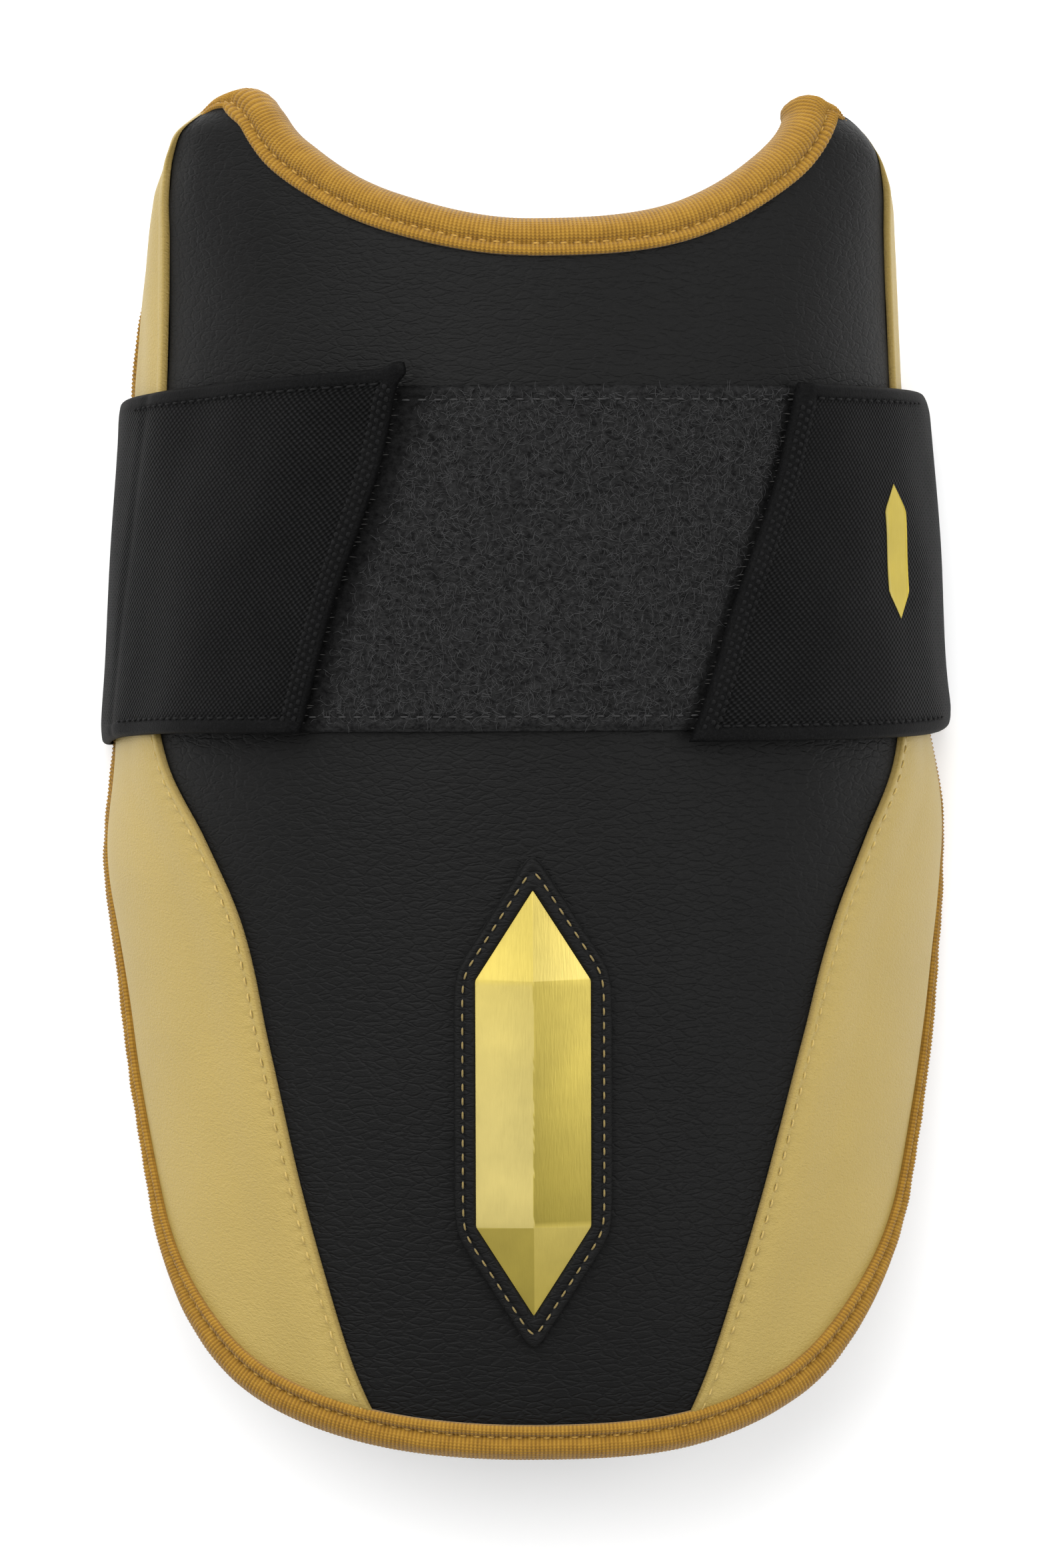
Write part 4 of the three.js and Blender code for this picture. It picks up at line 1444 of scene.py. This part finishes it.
class ELBOWGUARD_OT_binding(bpy.types.Operator):
    """Builds the rib-knit binding round the edge and the stitches along it"""

    bl_idname = "elbow_guard.binding"
    bl_label = "Binding"

    # The binding's section, from its front leg round the edge to its back leg and back inside. Front rows
    # are a share of the leg's width from its inner edge and a lift; the others are an inset from the outer
    # edge and a lift, and the back leg's lifts count down from the pad's inner face.
    front = np.array(
        [
            (0, -0.1),
            (0.015, 0.55),
            (0.08, 1.1),
            (0.2, 1.4),
            (0.33, 1.2),
            (0.42, 0.6),
            (0.51, 1.3),
            (0.68, 1.95),
            (0.87, 2.1),
        ]
    )
    nose = np.array([(1.9, 1.9), (0.95, 1.15), (0.3, 0.0), (0.0, -1.4), (0.0, -3.0)])
    back = np.array([(0.35, -0.4), (1.2, 0.7), (2.6, 1.3), (4.2, 1.3), (4.6, 0.9), (4.4, 0.5), (1.1, 0.45)])
    inside = np.array([(1.1, 0.45)])

    # The ribs and the unevenness of its face. Lifts above the rim's are on the front, and only a few of the
    # back leg's rows are ribbed.
    steps_per_rib = 4
    ribbed_back = 4
    rim_lift = -2.0
    uneven = 0.1
    uneven_length = 17.0
    uneven_across = 4.0
    uneven_above = 0.6

    # The sewn groove on the front leg, and the stitches in it, which sink out of sight at the tucks.
    groove_at = 0.42
    groove_width = 0.45
    stitch_lift = 0.75
    stitch_hide = 4.0
    path_step = 8

    def front_inset(self, ribs, place):
        """The inset of a place on the front leg, from 0 at its inner edge to 1 where the nose begins."""
        return ribs.leg[:, None] - place * (ribs.leg - self.nose[0, 0] * ribs.full)[:, None]

    def sections(self, ribs, along, pitch, depth):
        """Insets, lifts and rib heights of a closed section at each rib."""
        fullness = ribs.full[:, None]
        fronts = self.front_inset(ribs, self.front[None, :, 0])
        noses = self.nose[None, :, 0] * fullness
        backs = np.vstack([self.back, self.inside])[:, 0]
        inset = np.hstack([fronts, noses, np.broadcast_to(backs, (len(along), len(backs)))])
        lift = np.vstack([self.front, self.nose, self.back, self.inside])[:, 1]
        lift = np.where(lift > 0, lift * fullness, lift)
        first_back = len(self.front) + len(self.nose)
        under = slice(first_back, first_back + len(self.back))
        lift[:, under] = -pad_depth(inset[:, under]) - self.back[None, :, 1]
        shows = np.zeros(inset.shape[1])
        shows[1 : first_back + self.ribbed_back] = 1.0
        wave = np.cos(2 * np.pi * along / pitch)[:, None] * shows
        swell = waves(along[:, None], self.uneven_across * inset, seed=8, longest=self.uneven_length)
        uneven = np.where(lift > self.uneven_above, 1.0 + self.uneven * swell, 1.0)
        on_front = lift > self.rim_lift
        raised = lift * uneven + depth * wave * np.where(on_front, 1.0, -1.0)
        tuck = ribs.tuck[:, None]
        return inset + TUCK_INSET * tuck, raised - TUCK_DROP * tuck * on_front, wave

    def execute(self, context):
        pitch = finish_mm(context, "rib_pitch")
        half = ribs_at(even_shares(EDGE_SAMPLES), RIGHT)
        edge = half.point(np.ones((EDGE_SAMPLES, 1)), 0.0)[:, 0]
        half_length = lengths_along(edge)[-1]
        ribs = ring_ribs(self.steps_per_rib * int(round(half_length / pitch)) + 1)
        along = np.arange(len(ribs.y)) * pitch / self.steps_per_rib
        inset, lift, rib = self.sections(ribs, along, pitch, finish_mm(context, "rib_depth"))
        points = ribs.edge_point(inset, lift)
        steps = np.linalg.norm(np.diff(points, axis=1, prepend=points[:, :1]), axis=2)
        places = np.stack(np.broadcast_arrays(along[:, None], np.cumsum(steps, axis=1)), -1)
        groove = self.front_inset(ribs, self.groove_at)
        step = finish_mm(context, "binding_stitch")
        front = np.arange(inset.shape[1]) < len(self.front)
        # Painted shade along the sewn groove, deepest at the stitch holes, and in the valleys of the rib
        # wave.
        shade = bell(groove - inset, self.groove_width) * stitch_holes(along, step) * front
        shape = tube_ring(points, places, {"rib": rib, "groove": shade})
        piece = make_piece("binding", "edge_binding", shape, rib_knit())
        few = slice(None, None, self.path_step)
        hidden = self.stitch_hide * ribs.tuck
        lift = (self.stitch_lift * ribs.full - hidden)[:, None]
        path = ribs.edge_point(groove + 0.5 * hidden[:, None], lift)[few, 0]
        normals = arch_normal(*(value[:, 0] for value in ribs.edge_place(groove)))[few]
        stitches = stitch_row(path, normals, step, fill=0.62, radius=0.2, bow=0.35, sink=0.2)
        thread = thread_paint("ochre_thread", colour_of(context, "ochre_thread"))
        make_piece("binding_stitches", "edge_binding", stitches, thread)
        return {"FINISHED"}


class ELBOWGUARD_OT_loop_panel(bpy.types.Operator):
    """Builds the loop panel, its fibres and its stitches"""

    bl_idname = "elbow_guard.loop_panel"
    bl_label = "Loop Panel"

    across = 150
    up = 90
    edge_thick = 0.45
    edge_round = 1.1
    sewn_at = 2.5
    sewn_depth = 0.3
    sewn_width = 0.6
    uneven = 0.12
    uneven_length = 16.0
    uneven_ramp = 3.0
    # How far beside each strap end the pile is pressed flat and painted with shadow.
    matted_and_shadowed_left = (4.0, 9.0)
    matted_and_shadowed_right = 1.4

    # The fibres: where they grow, and the least and the most of each of their sizes.
    fibre_angles = (-38.0, 42.0)
    fibre_margin = 1.4
    fibre_sink = 0.08
    fibre_lengths = (0.8, 2.8)
    fibre_leans = (-2.2, 2.2)
    fibre_bows = (0.25, 0.75)
    fibre_radii = (0.018, 0.032)
    upright = (0.1, 0.9)

    stitch_columns = 160
    stitch_margin = 1.0
    stitch_sink = 0.1

    def matted(self, angle, y):
        """How flat the pile lies and how much shadow is painted on it, from 0 to 1: most beside the strap's
        ends, which press it and stand off over it.
        """
        v = (y - STRAP_LOW) / (STRAP_HIGH - STRAP_LOW)
        left, right = STRAP_ENDS
        from_left = (angle + strap_cut(left, v)) * MM_PER_DEGREE
        from_right = (strap_cut(right, v) - angle) * MM_PER_DEGREE
        beside_left = 1.0 - ease(from_left / mix(*self.matted_and_shadowed_left, v))
        beside_right = 1.0 - ease(from_right / self.matted_and_shadowed_right)
        return np.maximum(beside_left, beside_right)

    def base(self):
        """A strip with rounded edges, pressed down along its two seams and a little uneven."""
        angle = np.linspace(-LOOP_ANGLE, LOOP_ANGLE, self.across)[:, None]
        y = np.linspace(LOOP_LOW, LOOP_HIGH, self.up)[None]
        from_edge = np.minimum(y - LOOP_LOW, LOOP_HIGH - y)
        rounded = (LOOP_THICK - self.edge_thick) * round_over(from_edge / self.edge_round)
        top = GAP + self.edge_thick + rounded
        top = top - self.sewn_depth * bell(from_edge - self.sewn_at, self.sewn_width)
        soft = self.uneven * waves(angle * MM_PER_DEGREE, y, seed=9, longest=self.uneven_length)
        top = top + soft * ease(from_edge / self.uneven_ramp)
        angle, y = np.broadcast_arrays(angle, y)
        # The value paints shadow on the pile beside the strap's ends.
        return wall(face(angle, y, top), face(angle, y, GAP), values={"matted": self.matted(angle, y)})

    def fibres(self, count, seed):
        """Bowed fibres that lie every way on the pile, fewer where it is matted."""
        random = np.random.default_rng(seed)
        angle = random.uniform(*self.fibre_angles, count)
        y = random.uniform(LOOP_LOW + self.fibre_margin, LOOP_HIGH - self.fibre_margin, count)
        stands = self.matted(angle, y) < random.uniform(*self.upright, count)
        angle = angle[stands]
        y = y[stands]
        count = len(y)
        normals = arch_normal(angle, y)
        starts = face(angle, y, GAP + LOOP_THICK - self.fibre_sink)
        turn = random.uniform(0.0, 2 * np.pi, count)
        sideways = unit(np.cross([0.0, 1.0, 0.0], normals))
        along = np.cross(normals, sideways)
        way = np.cos(turn)[:, None] * sideways + np.sin(turn)[:, None] * along
        ends = starts + way * random.uniform(*self.fibre_lengths, count)[:, None]
        lean = random.uniform(*self.fibre_leans, count)[:, None]
        bend = unit(normals + lean * np.cross(normals, way))
        bow = random.uniform(*self.fibre_bows, count)
        return threads(starts, ends, bend, random.uniform(*self.fibre_radii, count), bow, steps=5, sides=3)

    def stitches(self, step):
        """A row of stitches along the low and the high edge."""
        rows = []
        reach = LOOP_ANGLE - self.stitch_margin
        run = np.linspace(-reach, reach, self.stitch_columns)
        for y in (LOOP_LOW + self.sewn_at, LOOP_HIGH - self.sewn_at):
            path = face(run, y, GAP + LOOP_THICK - self.stitch_sink)
            normals = arch_normal(run, y)
            rows.append(stitch_row(path, normals, step, fill=0.55, radius=0.17, bow=0.2, sink=0.05))
        return join(rows)

    def execute(self, context):
        finish = context.scene.elbow_guard_finish
        base = make_piece("loop_base", "loop_panel", self.base(), brushed_pile())
        pile = self.fibres(finish.fibres, finish.seed)
        fibre = thread_paint("pile_fibre", colour_of(context, "pile_fibre"), sheen=0.06)
        make_piece("loop_fibres", "loop_panel", pile, fibre)
        stitches = self.stitches(finish_mm(context, "loop_stitch"))
        thread = thread_paint("grey_thread", colour_of(context, "grey_thread"), sheen=0.05)
        make_piece("loop_stitches", "loop_panel", stitches, thread)
        return {"FINISHED"}


class ELBOWGUARD_OT_hook_tabs(bpy.types.Operator):
    """Builds the hook tabs under the strap's cut ends, with the hooks that show"""

    bl_idname = "elbow_guard.hook_tabs"
    bl_label = "Hook Tabs"

    across = 30
    up = 60
    edge_round = 0.5

    # The hooks: shares of a step, millimetres and, along the tab, degrees.
    hook_jitter = 0.4
    hook_drift = 0.35
    hook_reaches = (-0.5, 0.75)
    hook_radius = 0.07
    hook_bow = 0.35
    root_past = 0.2
    root_lift = 0.6
    tip_lift = 0.3

    def tape(self, end):
        """A flat tape that follows the cut, rounded at its edges."""
        v = np.linspace(TAB_MARGIN, 1.0 - TAB_MARGIN, self.up)[None]
        past_cut = np.linspace(TAB_START, TAB_ANGLE, self.across)[:, None]
        angle = strap_cut(end, v) + past_cut
        y = mix(*strap_edges(end, angle), v)
        from_end = np.minimum(past_cut - TAB_START, TAB_ANGLE - past_cut) * MM_PER_DEGREE
        from_edge = np.minimum(v - TAB_MARGIN, 1.0 - TAB_MARGIN - v) * STRAP_STOCK_WIDTH
        half = 0.5 * round_over(np.minimum(from_end, from_edge) / self.edge_round)
        top = end.face(angle, y, TAB_LIFT + TAB_THICK * (0.5 + half))
        return wall(top, end.face(angle, y, TAB_LIFT + TAB_THICK * (0.5 - half)))

    def hooks(self, end, step, random):
        """A row of bowed hooks that stick out past the cut by different amounts."""
        count = int((STRAP_HIGH - STRAP_LOW) / step)
        jitter = random.uniform(-self.hook_jitter, self.hook_jitter, count)
        v = np.linspace(TAB_MARGIN, 1.0 - TAB_MARGIN, count) + jitter / count
        cut = strap_cut(end, v)
        y = mix(*strap_edges(end, cut), v)
        tip_y = y + random.uniform(-self.hook_drift, self.hook_drift, count)
        root = end.face(cut + TAB_START + self.root_past, y, TAB_LIFT + self.root_lift)
        tip = end.face(cut - random.uniform(*self.hook_reaches, count), tip_y, TAB_LIFT + self.tip_lift)
        return threads(root, tip, end.normal(cut, y), self.hook_radius, self.hook_bow, steps=6, sides=5)

    def execute(self, context):
        nylon = hook_nylon()
        step = finish_mm(context, "hook_step")
        random = np.random.default_rng(context.scene.elbow_guard_finish.seed)
        for end in STRAP_ENDS:
            name = SIDE_NAME[end.side]
            node = "hook_tab_" + name
            tab = make_piece("hook_tape_" + name, node, self.tape(end), nylon)
            hook = thread_paint("hook_" + name, colour_of(context, "hooks"), sheen=0.08)
            make_piece("hooks_" + name, node, self.hooks(end, step, random), hook)
        return {"FINISHED"}


class ELBOWGUARD_OT_strap(bpy.types.Operator):
    """Builds the woven strap, its stitches and the printed mark on its side"""

    bl_idname = "elbow_guard.strap"
    bl_label = "Strap"

    edge_width = 4.0
    edge_rows = 13
    edge_crowding = 1.6
    middle_rows = 46

    # Stitches along the hems, and rows of knots beside the cut: each row's angle past the cut and its first
    # share of the width.
    stitch_points = 120
    stitch_past = 3.0
    stitch_over = 0.1
    stitch_radius = 0.18
    knot_rows = ((0.95, 0.03), (1.75, 0.043), (2.55, 0.03))
    knot_points = 80
    knot_run = 0.92
    knot_step = 1.5
    knot_over = 0.12
    knot_radius = 0.38

    mark_rows = 25
    mark_columns = 9
    mark_angle = 61.0
    mark_y = 37.5
    mark_half_width = 3.6
    mark_half_height = 11.5
    mark_shoulder = 7.0
    mark_over = 0.09
    mark_under = 0.1

    def band(self, hem_width):
        """The whole band, its rows close together near the edges, with texture places on it."""
        edge = np.linspace(0.0, 1.0, self.edge_rows) ** self.edge_crowding
        edge = edge * self.edge_width / (STRAP_HIGH - STRAP_LOW)
        middle = np.linspace(edge[-1], 1 - edge[-1], self.middle_rows)[1:-1]
        v = np.concatenate([edge, middle, 1 - edge[::-1]])
        rows = strap_rows(v, hem_width)
        along = lengths_along(rows.outer[:, len(v) // 2])
        places = np.stack(np.broadcast_arrays(along[:, None], rows.outer[..., 1]), -1)
        return wall(rows.outer, rows.inner, places=places, values={"hem": rows.hem})

    def row(self, end, angle, v, step, over, radius):
        """Stitches along a line on the strap's outer face."""
        spots = strap_spots(end, angle, v)
        path = end.face(angle, spots.y, spots.lift + STRAP_THICK + over)
        normals = end.normal(angle, spots.y)
        return stitch_row(path, normals, step, fill=0.66, radius=radius, bow=0.2, sink=0.05)

    def hem_stitches(self, hem_width, step):
        """Stitches along both hems of each end, from the cut to where the relief fades."""
        share = hem_width / (STRAP_HIGH - STRAP_LOW)
        rows = []
        for end in STRAP_ENDS:
            for v in (share, 1.0 - share):
                angle = np.linspace(strap_cut(end, v) + self.stitch_past, RELIEF_END, self.stitch_points)
                line = np.full(angle.shape, v)
                rows.append(self.row(end, angle, line, step, self.stitch_over, self.stitch_radius))
        return join(rows)

    def knots(self):
        """Rows of thick short stitches along each cut."""
        rows = []
        for end in STRAP_ENDS:
            for past_cut, first in self.knot_rows:
                v = np.linspace(first, first + self.knot_run, self.knot_points)
                angle = strap_cut(end, v) + past_cut
                rows.append(self.row(end, angle, v, self.knot_step, self.knot_over, self.knot_radius))
        return join(rows)

    def mark(self):
        """A thin six-sided bar that follows the strap's outer face."""
        height = np.linspace(-1.0, 1.0, self.mark_rows)[:, None] * self.mark_half_height
        narrow = (self.mark_half_height - np.abs(height)) / (self.mark_half_height - self.mark_shoulder)
        width = np.linspace(-1.0, 1.0, self.mark_columns)[None] * self.mark_half_width
        width = width * np.clip(narrow, 0.0, 1.0)
        y = self.mark_y + height
        end = STRAP_ENDS[1]
        angle = self.mark_angle + np.degrees(width / column_at(SECTIONS, HALF_WIDTH, y))
        low, high = strap_edges(end, angle)
        spots = strap_spots(end, angle, (y - low) / (high - low))
        lift = spots.lift + STRAP_THICK
        top = end.face(angle, spots.y, lift + self.mark_over)
        return wall(top, end.face(angle, spots.y, lift - self.mark_under))

    def execute(self, context):
        hem_width = finish_mm(context, "hem_width")
        weave = woven_elastic(finish_mm(context, "weave_along"), finish_mm(context, "weave_across"))
        strap = make_piece("strap_band", "strap", self.band(hem_width), weave)
        stitches = self.hem_stitches(hem_width, finish_mm(context, "hem_stitch"))
        thread = thread_paint("strap_thread", colour_of(context, "strap_thread"), sheen=0.04)
        make_piece("strap_stitches", "strap", stitches, thread)
        yarn = thread_paint("strap_yarn", colour_of(context, "strap_yarn"), sheen=0.04)
        make_piece("strap_knots", "strap", self.knots(), yarn)
        ink = gold_foil("mark_ink", colour_of(context, "mark_ink"), roughness=0.45)
        make_piece("strap_mark", "strap", self.mark(), ink)
        return {"FINISHED"}


class ELBOWGUARD_OT_badge(bpy.types.Operator):
    """Builds the badge: a faceted foil inlay in a stitched leather frame"""

    bl_idname = "elbow_guard.badge"
    bl_label = "Badge"

    frame_rings = 22
    frame_per_edge = 48
    frame_round = 0.9
    frame_under = 0.25
    frame_edge_under = 0.2
    inner_softening = 2
    outer_softening = 26
    stitch_at = 2.3
    groove_depth = 0.3
    groove_width = 0.4
    stitch_sink = 0.25

    # The inlay's six facets, each with its own painted light and shade that drifts along the badge.
    inlay_grow = 0.2
    inlay_per_edge = 40
    inlay_under = 0.2
    inlay_steps = np.concatenate([[0.0, 0.02], np.linspace(0.1, 1.0, 10)])
    facet_shading_levels = (0.75, 0.2, 0.55, 0.35, 0.8, 0.4)
    drift = 0.18
    drift_length = 17.0
    drift_turn = 3.0
    facet_crease = 14.0

    def frame_loops(self, grow, across):
        """The outline at each ring of the frame, softened more and more outward."""
        softening = [self.inner_softening + int(self.outer_softening * share) for share in across]
        return np.stack([badge_outline(g, self.frame_per_edge, s) for g, s in zip(grow, softening)], 1)

    def inlay(self):
        """A low roof over the outline, from its rim up to a ridge along the middle."""
        rim = badge_outline(self.inlay_grow, self.inlay_per_edge)
        ridge = np.stack([0.0 * rim[:, 0], np.clip(rim[:, 1], -BADGE_SHOULDER, BADGE_SHOULDER)], -1)
        steps = self.inlay_steps
        rings = np.concatenate([mix(ridge[:, None], rim[:, None], steps[None, :, None]), rim[:, None]], 1)
        tops = np.concatenate([mix(INLAY_RIDGE, INLAY_RIM, steps), [0.0]])
        facet = np.repeat(self.facet_shading_levels, self.inlay_per_edge)[:, None]
        # Painted light and shade for each facet, drifting along the badge.
        tone = facet + self.drift * np.sin(rings[..., 1] / self.drift_length + self.drift_turn * facet)
        top = badge_face(rings, GAP + tops[None])
        low = badge_face(rings, GAP - self.inlay_under)
        return wall(top, low, ring=True, filled=True, values={"tone": tone})

    def execute(self, context):
        across = np.linspace(0.0, 1.0, self.frame_rings)
        grow = mix(GAP - self.frame_under, BADGE_BORDER, across)
        loops = self.frame_loops(grow, across)
        from_edge = np.minimum(grow - grow[0], grow[-1] - grow)
        rounded = (BADGE_FRAME_THICK + self.frame_edge_under) * round_over(from_edge / self.frame_round)
        groove = self.groove_depth * bell(grow - self.stitch_at, self.groove_width)
        top = GAP - self.frame_edge_under + rounded - groove
        shape = wall(badge_face(loops, top[None]), badge_face(loops, GAP - self.frame_under), ring=True)
        leather = black_leather(colour_of(context, "black_leather"))
        make_piece("badge_leather", "badge_frame", shape, leather)
        row = loops[:, int(np.argmin(np.abs(grow - self.stitch_at)))]
        row = np.concatenate([row, row[:1]])
        path = badge_face(row, GAP + BADGE_FRAME_THICK - self.stitch_sink)
        normals = arch_normal(*badge_place(row))
        step = finish_mm(context, "binding_stitch")
        stitches = stitch_row(path, normals, step, fill=0.62, radius=0.17, bow=0.25)
        thread = thread_paint("badge_thread", colour_of(context, "badge_thread"))
        make_piece("badge_stitches", "badge_frame", stitches, thread)
        foil = gold_foil("badge_foil", colour_of(context, "badge_foil"), roughness=0.25, facets=True)
        inlay = self.inlay()
        make_piece("badge_inlay_foil", "badge_inlay", inlay, foil, crease=self.facet_crease)
        return {"FINISHED"}


class ELBOWGUARD_OT_stage(bpy.types.Operator):
    """Sets the guard on a white floor in soft light, with the camera over it"""

    bl_idname = "elbow_guard.stage"
    bl_label = "Stage"

    # Each light's name, place, size and power, in metres and watts.
    lights = (
        ("key", (-0.68, 1.02, 1.34), 2.4, 56.0),
        ("fill", (0.95, 0.15, 1.0), 1.0, 10.0),
        ("low", (-0.1, -1.1, 0.9), 1.0, 0.3),
    )
    light_aim = Vector((0.0, 0.0, 0.03))
    camera_aim = Vector((0.0, 0.0, 0.04))
    sensor_width = 36.0
    surround = 0.52
    floor_half = 3.0

    def execute(self, context):
        self.floor()
        for name, place, size, power in self.lights:
            self.light(name, place, size, power)
        world = bpy.data.worlds.new("studio")
        world.use_nodes = True
        background = world.node_tree.nodes["Background"]
        background.inputs["Color"].default_value = (*WHITE, 1.0)
        background.inputs["Strength"].default_value = self.surround
        context.scene.world = world
        context.scene.view_settings.view_transform = "Standard"
        self.camera(context)
        return {"FINISHED"}

    def floor(self):
        """A wide white sheet under the guard."""
        half = self.floor_half
        mesh = bpy.data.meshes.new("floor")
        corners = [(-half, -half, 0.0), (half, -half, 0.0), (half, half, 0.0), (-half, half, 0.0)]
        mesh.from_pydata(corners, [], [(0, 1, 2, 3)])
        mesh.materials.append(floor_paint())
        floor = bpy.data.objects.new("floor", mesh)
        bpy.context.collection.objects.link(floor)

    def light(self, name, place, size, power):
        """A square soft light that faces the guard."""
        lamp = bpy.data.lights.new(name, "AREA")
        lamp.size = size
        lamp.energy = power
        holder = bpy.data.objects.new(name, lamp)
        holder.location = place
        holder.rotation_euler = (self.light_aim - Vector(place)).to_track_quat("-Z", "Y").to_euler()
        bpy.context.collection.objects.link(holder)

    def camera(self, context):
        """A long lens over the guard, turned, tilted and rolled a little."""
        view = context.scene.elbow_guard_view
        level = math.cos(view.pitch)
        back = Vector((-math.sin(view.yaw) * level, math.sin(view.pitch), math.cos(view.yaw) * level))
        right = Vector((0, 1, 0)).cross(back).normalized()
        up = back.cross(right)
        rolled_right = right * math.cos(view.roll) + up * math.sin(view.roll)
        rolled_up = back.cross(rolled_right)
        aim = self.camera_aim + rolled_right * view.aim_x + rolled_up * view.aim_y
        lens = bpy.data.cameras.new("camera")
        lens.lens = view.lens
        lens.sensor_width = self.sensor_width
        camera = bpy.data.objects.new("camera", lens)
        turn = Matrix((rolled_right, rolled_up, back)).transposed().to_4x4()
        camera.matrix_world = Matrix.Translation(aim + back * view.distance) @ turn
        bpy.context.collection.objects.link(camera)
        context.scene.camera = camera


STEPS = (
    ELBOWGUARD_OT_pad,
    ELBOWGUARD_OT_front_panel,
    ELBOWGUARD_OT_side_panels,
    ELBOWGUARD_OT_binding,
    ELBOWGUARD_OT_loop_panel,
    ELBOWGUARD_OT_hook_tabs,
    ELBOWGUARD_OT_strap,
    ELBOWGUARD_OT_badge,
    ELBOWGUARD_OT_stage,
)


class ELBOWGUARD_PT_panel(bpy.types.Panel):
    """Buttons for the guard's pieces and fields for its finish"""

    bl_label = "Elbow Guard"
    bl_idname = "ELBOWGUARD_PT_panel"
    bl_space_type = "VIEW_3D"
    bl_region_type = "UI"
    bl_category = "Elbow Guard"

    def draw(self, context):
        scene = context.scene
        for group in (scene.elbow_guard_finish, scene.elbow_guard_colours, scene.elbow_guard_view):
            box = self.layout.box()
            for name in group.__annotations__:
                box.prop(group, name)
        for step in STEPS:
            self.layout.operator(step.bl_idname)


CLASSES = (ElbowGuardFinish, ElbowGuardColours, ElbowGuardView, *STEPS, ELBOWGUARD_PT_panel)


def register():
    """Adds the classes and the settings to Blender."""
    for item in CLASSES:
        bpy.utils.register_class(item)
    bpy.types.Scene.elbow_guard_finish = PointerProperty(type=ElbowGuardFinish)
    bpy.types.Scene.elbow_guard_colours = PointerProperty(type=ElbowGuardColours)
    bpy.types.Scene.elbow_guard_view = PointerProperty(type=ElbowGuardView)


def unregister():
    """Takes the settings and the classes away again."""
    del bpy.types.Scene.elbow_guard_view
    del bpy.types.Scene.elbow_guard_colours
    del bpy.types.Scene.elbow_guard_finish
    for item in reversed(CLASSES):
        bpy.utils.unregister_class(item)


def main():
    """Builds every piece and the stage."""
    register()
    bpy.ops.elbow_guard.pad()
    bpy.ops.elbow_guard.front_panel()
    bpy.ops.elbow_guard.side_panels()
    bpy.ops.elbow_guard.binding()
    bpy.ops.elbow_guard.loop_panel()
    bpy.ops.elbow_guard.hook_tabs()
    bpy.ops.elbow_guard.strap()
    bpy.ops.elbow_guard.badge()
    bpy.ops.elbow_guard.stage()


if __name__ == "__main__":
    main()
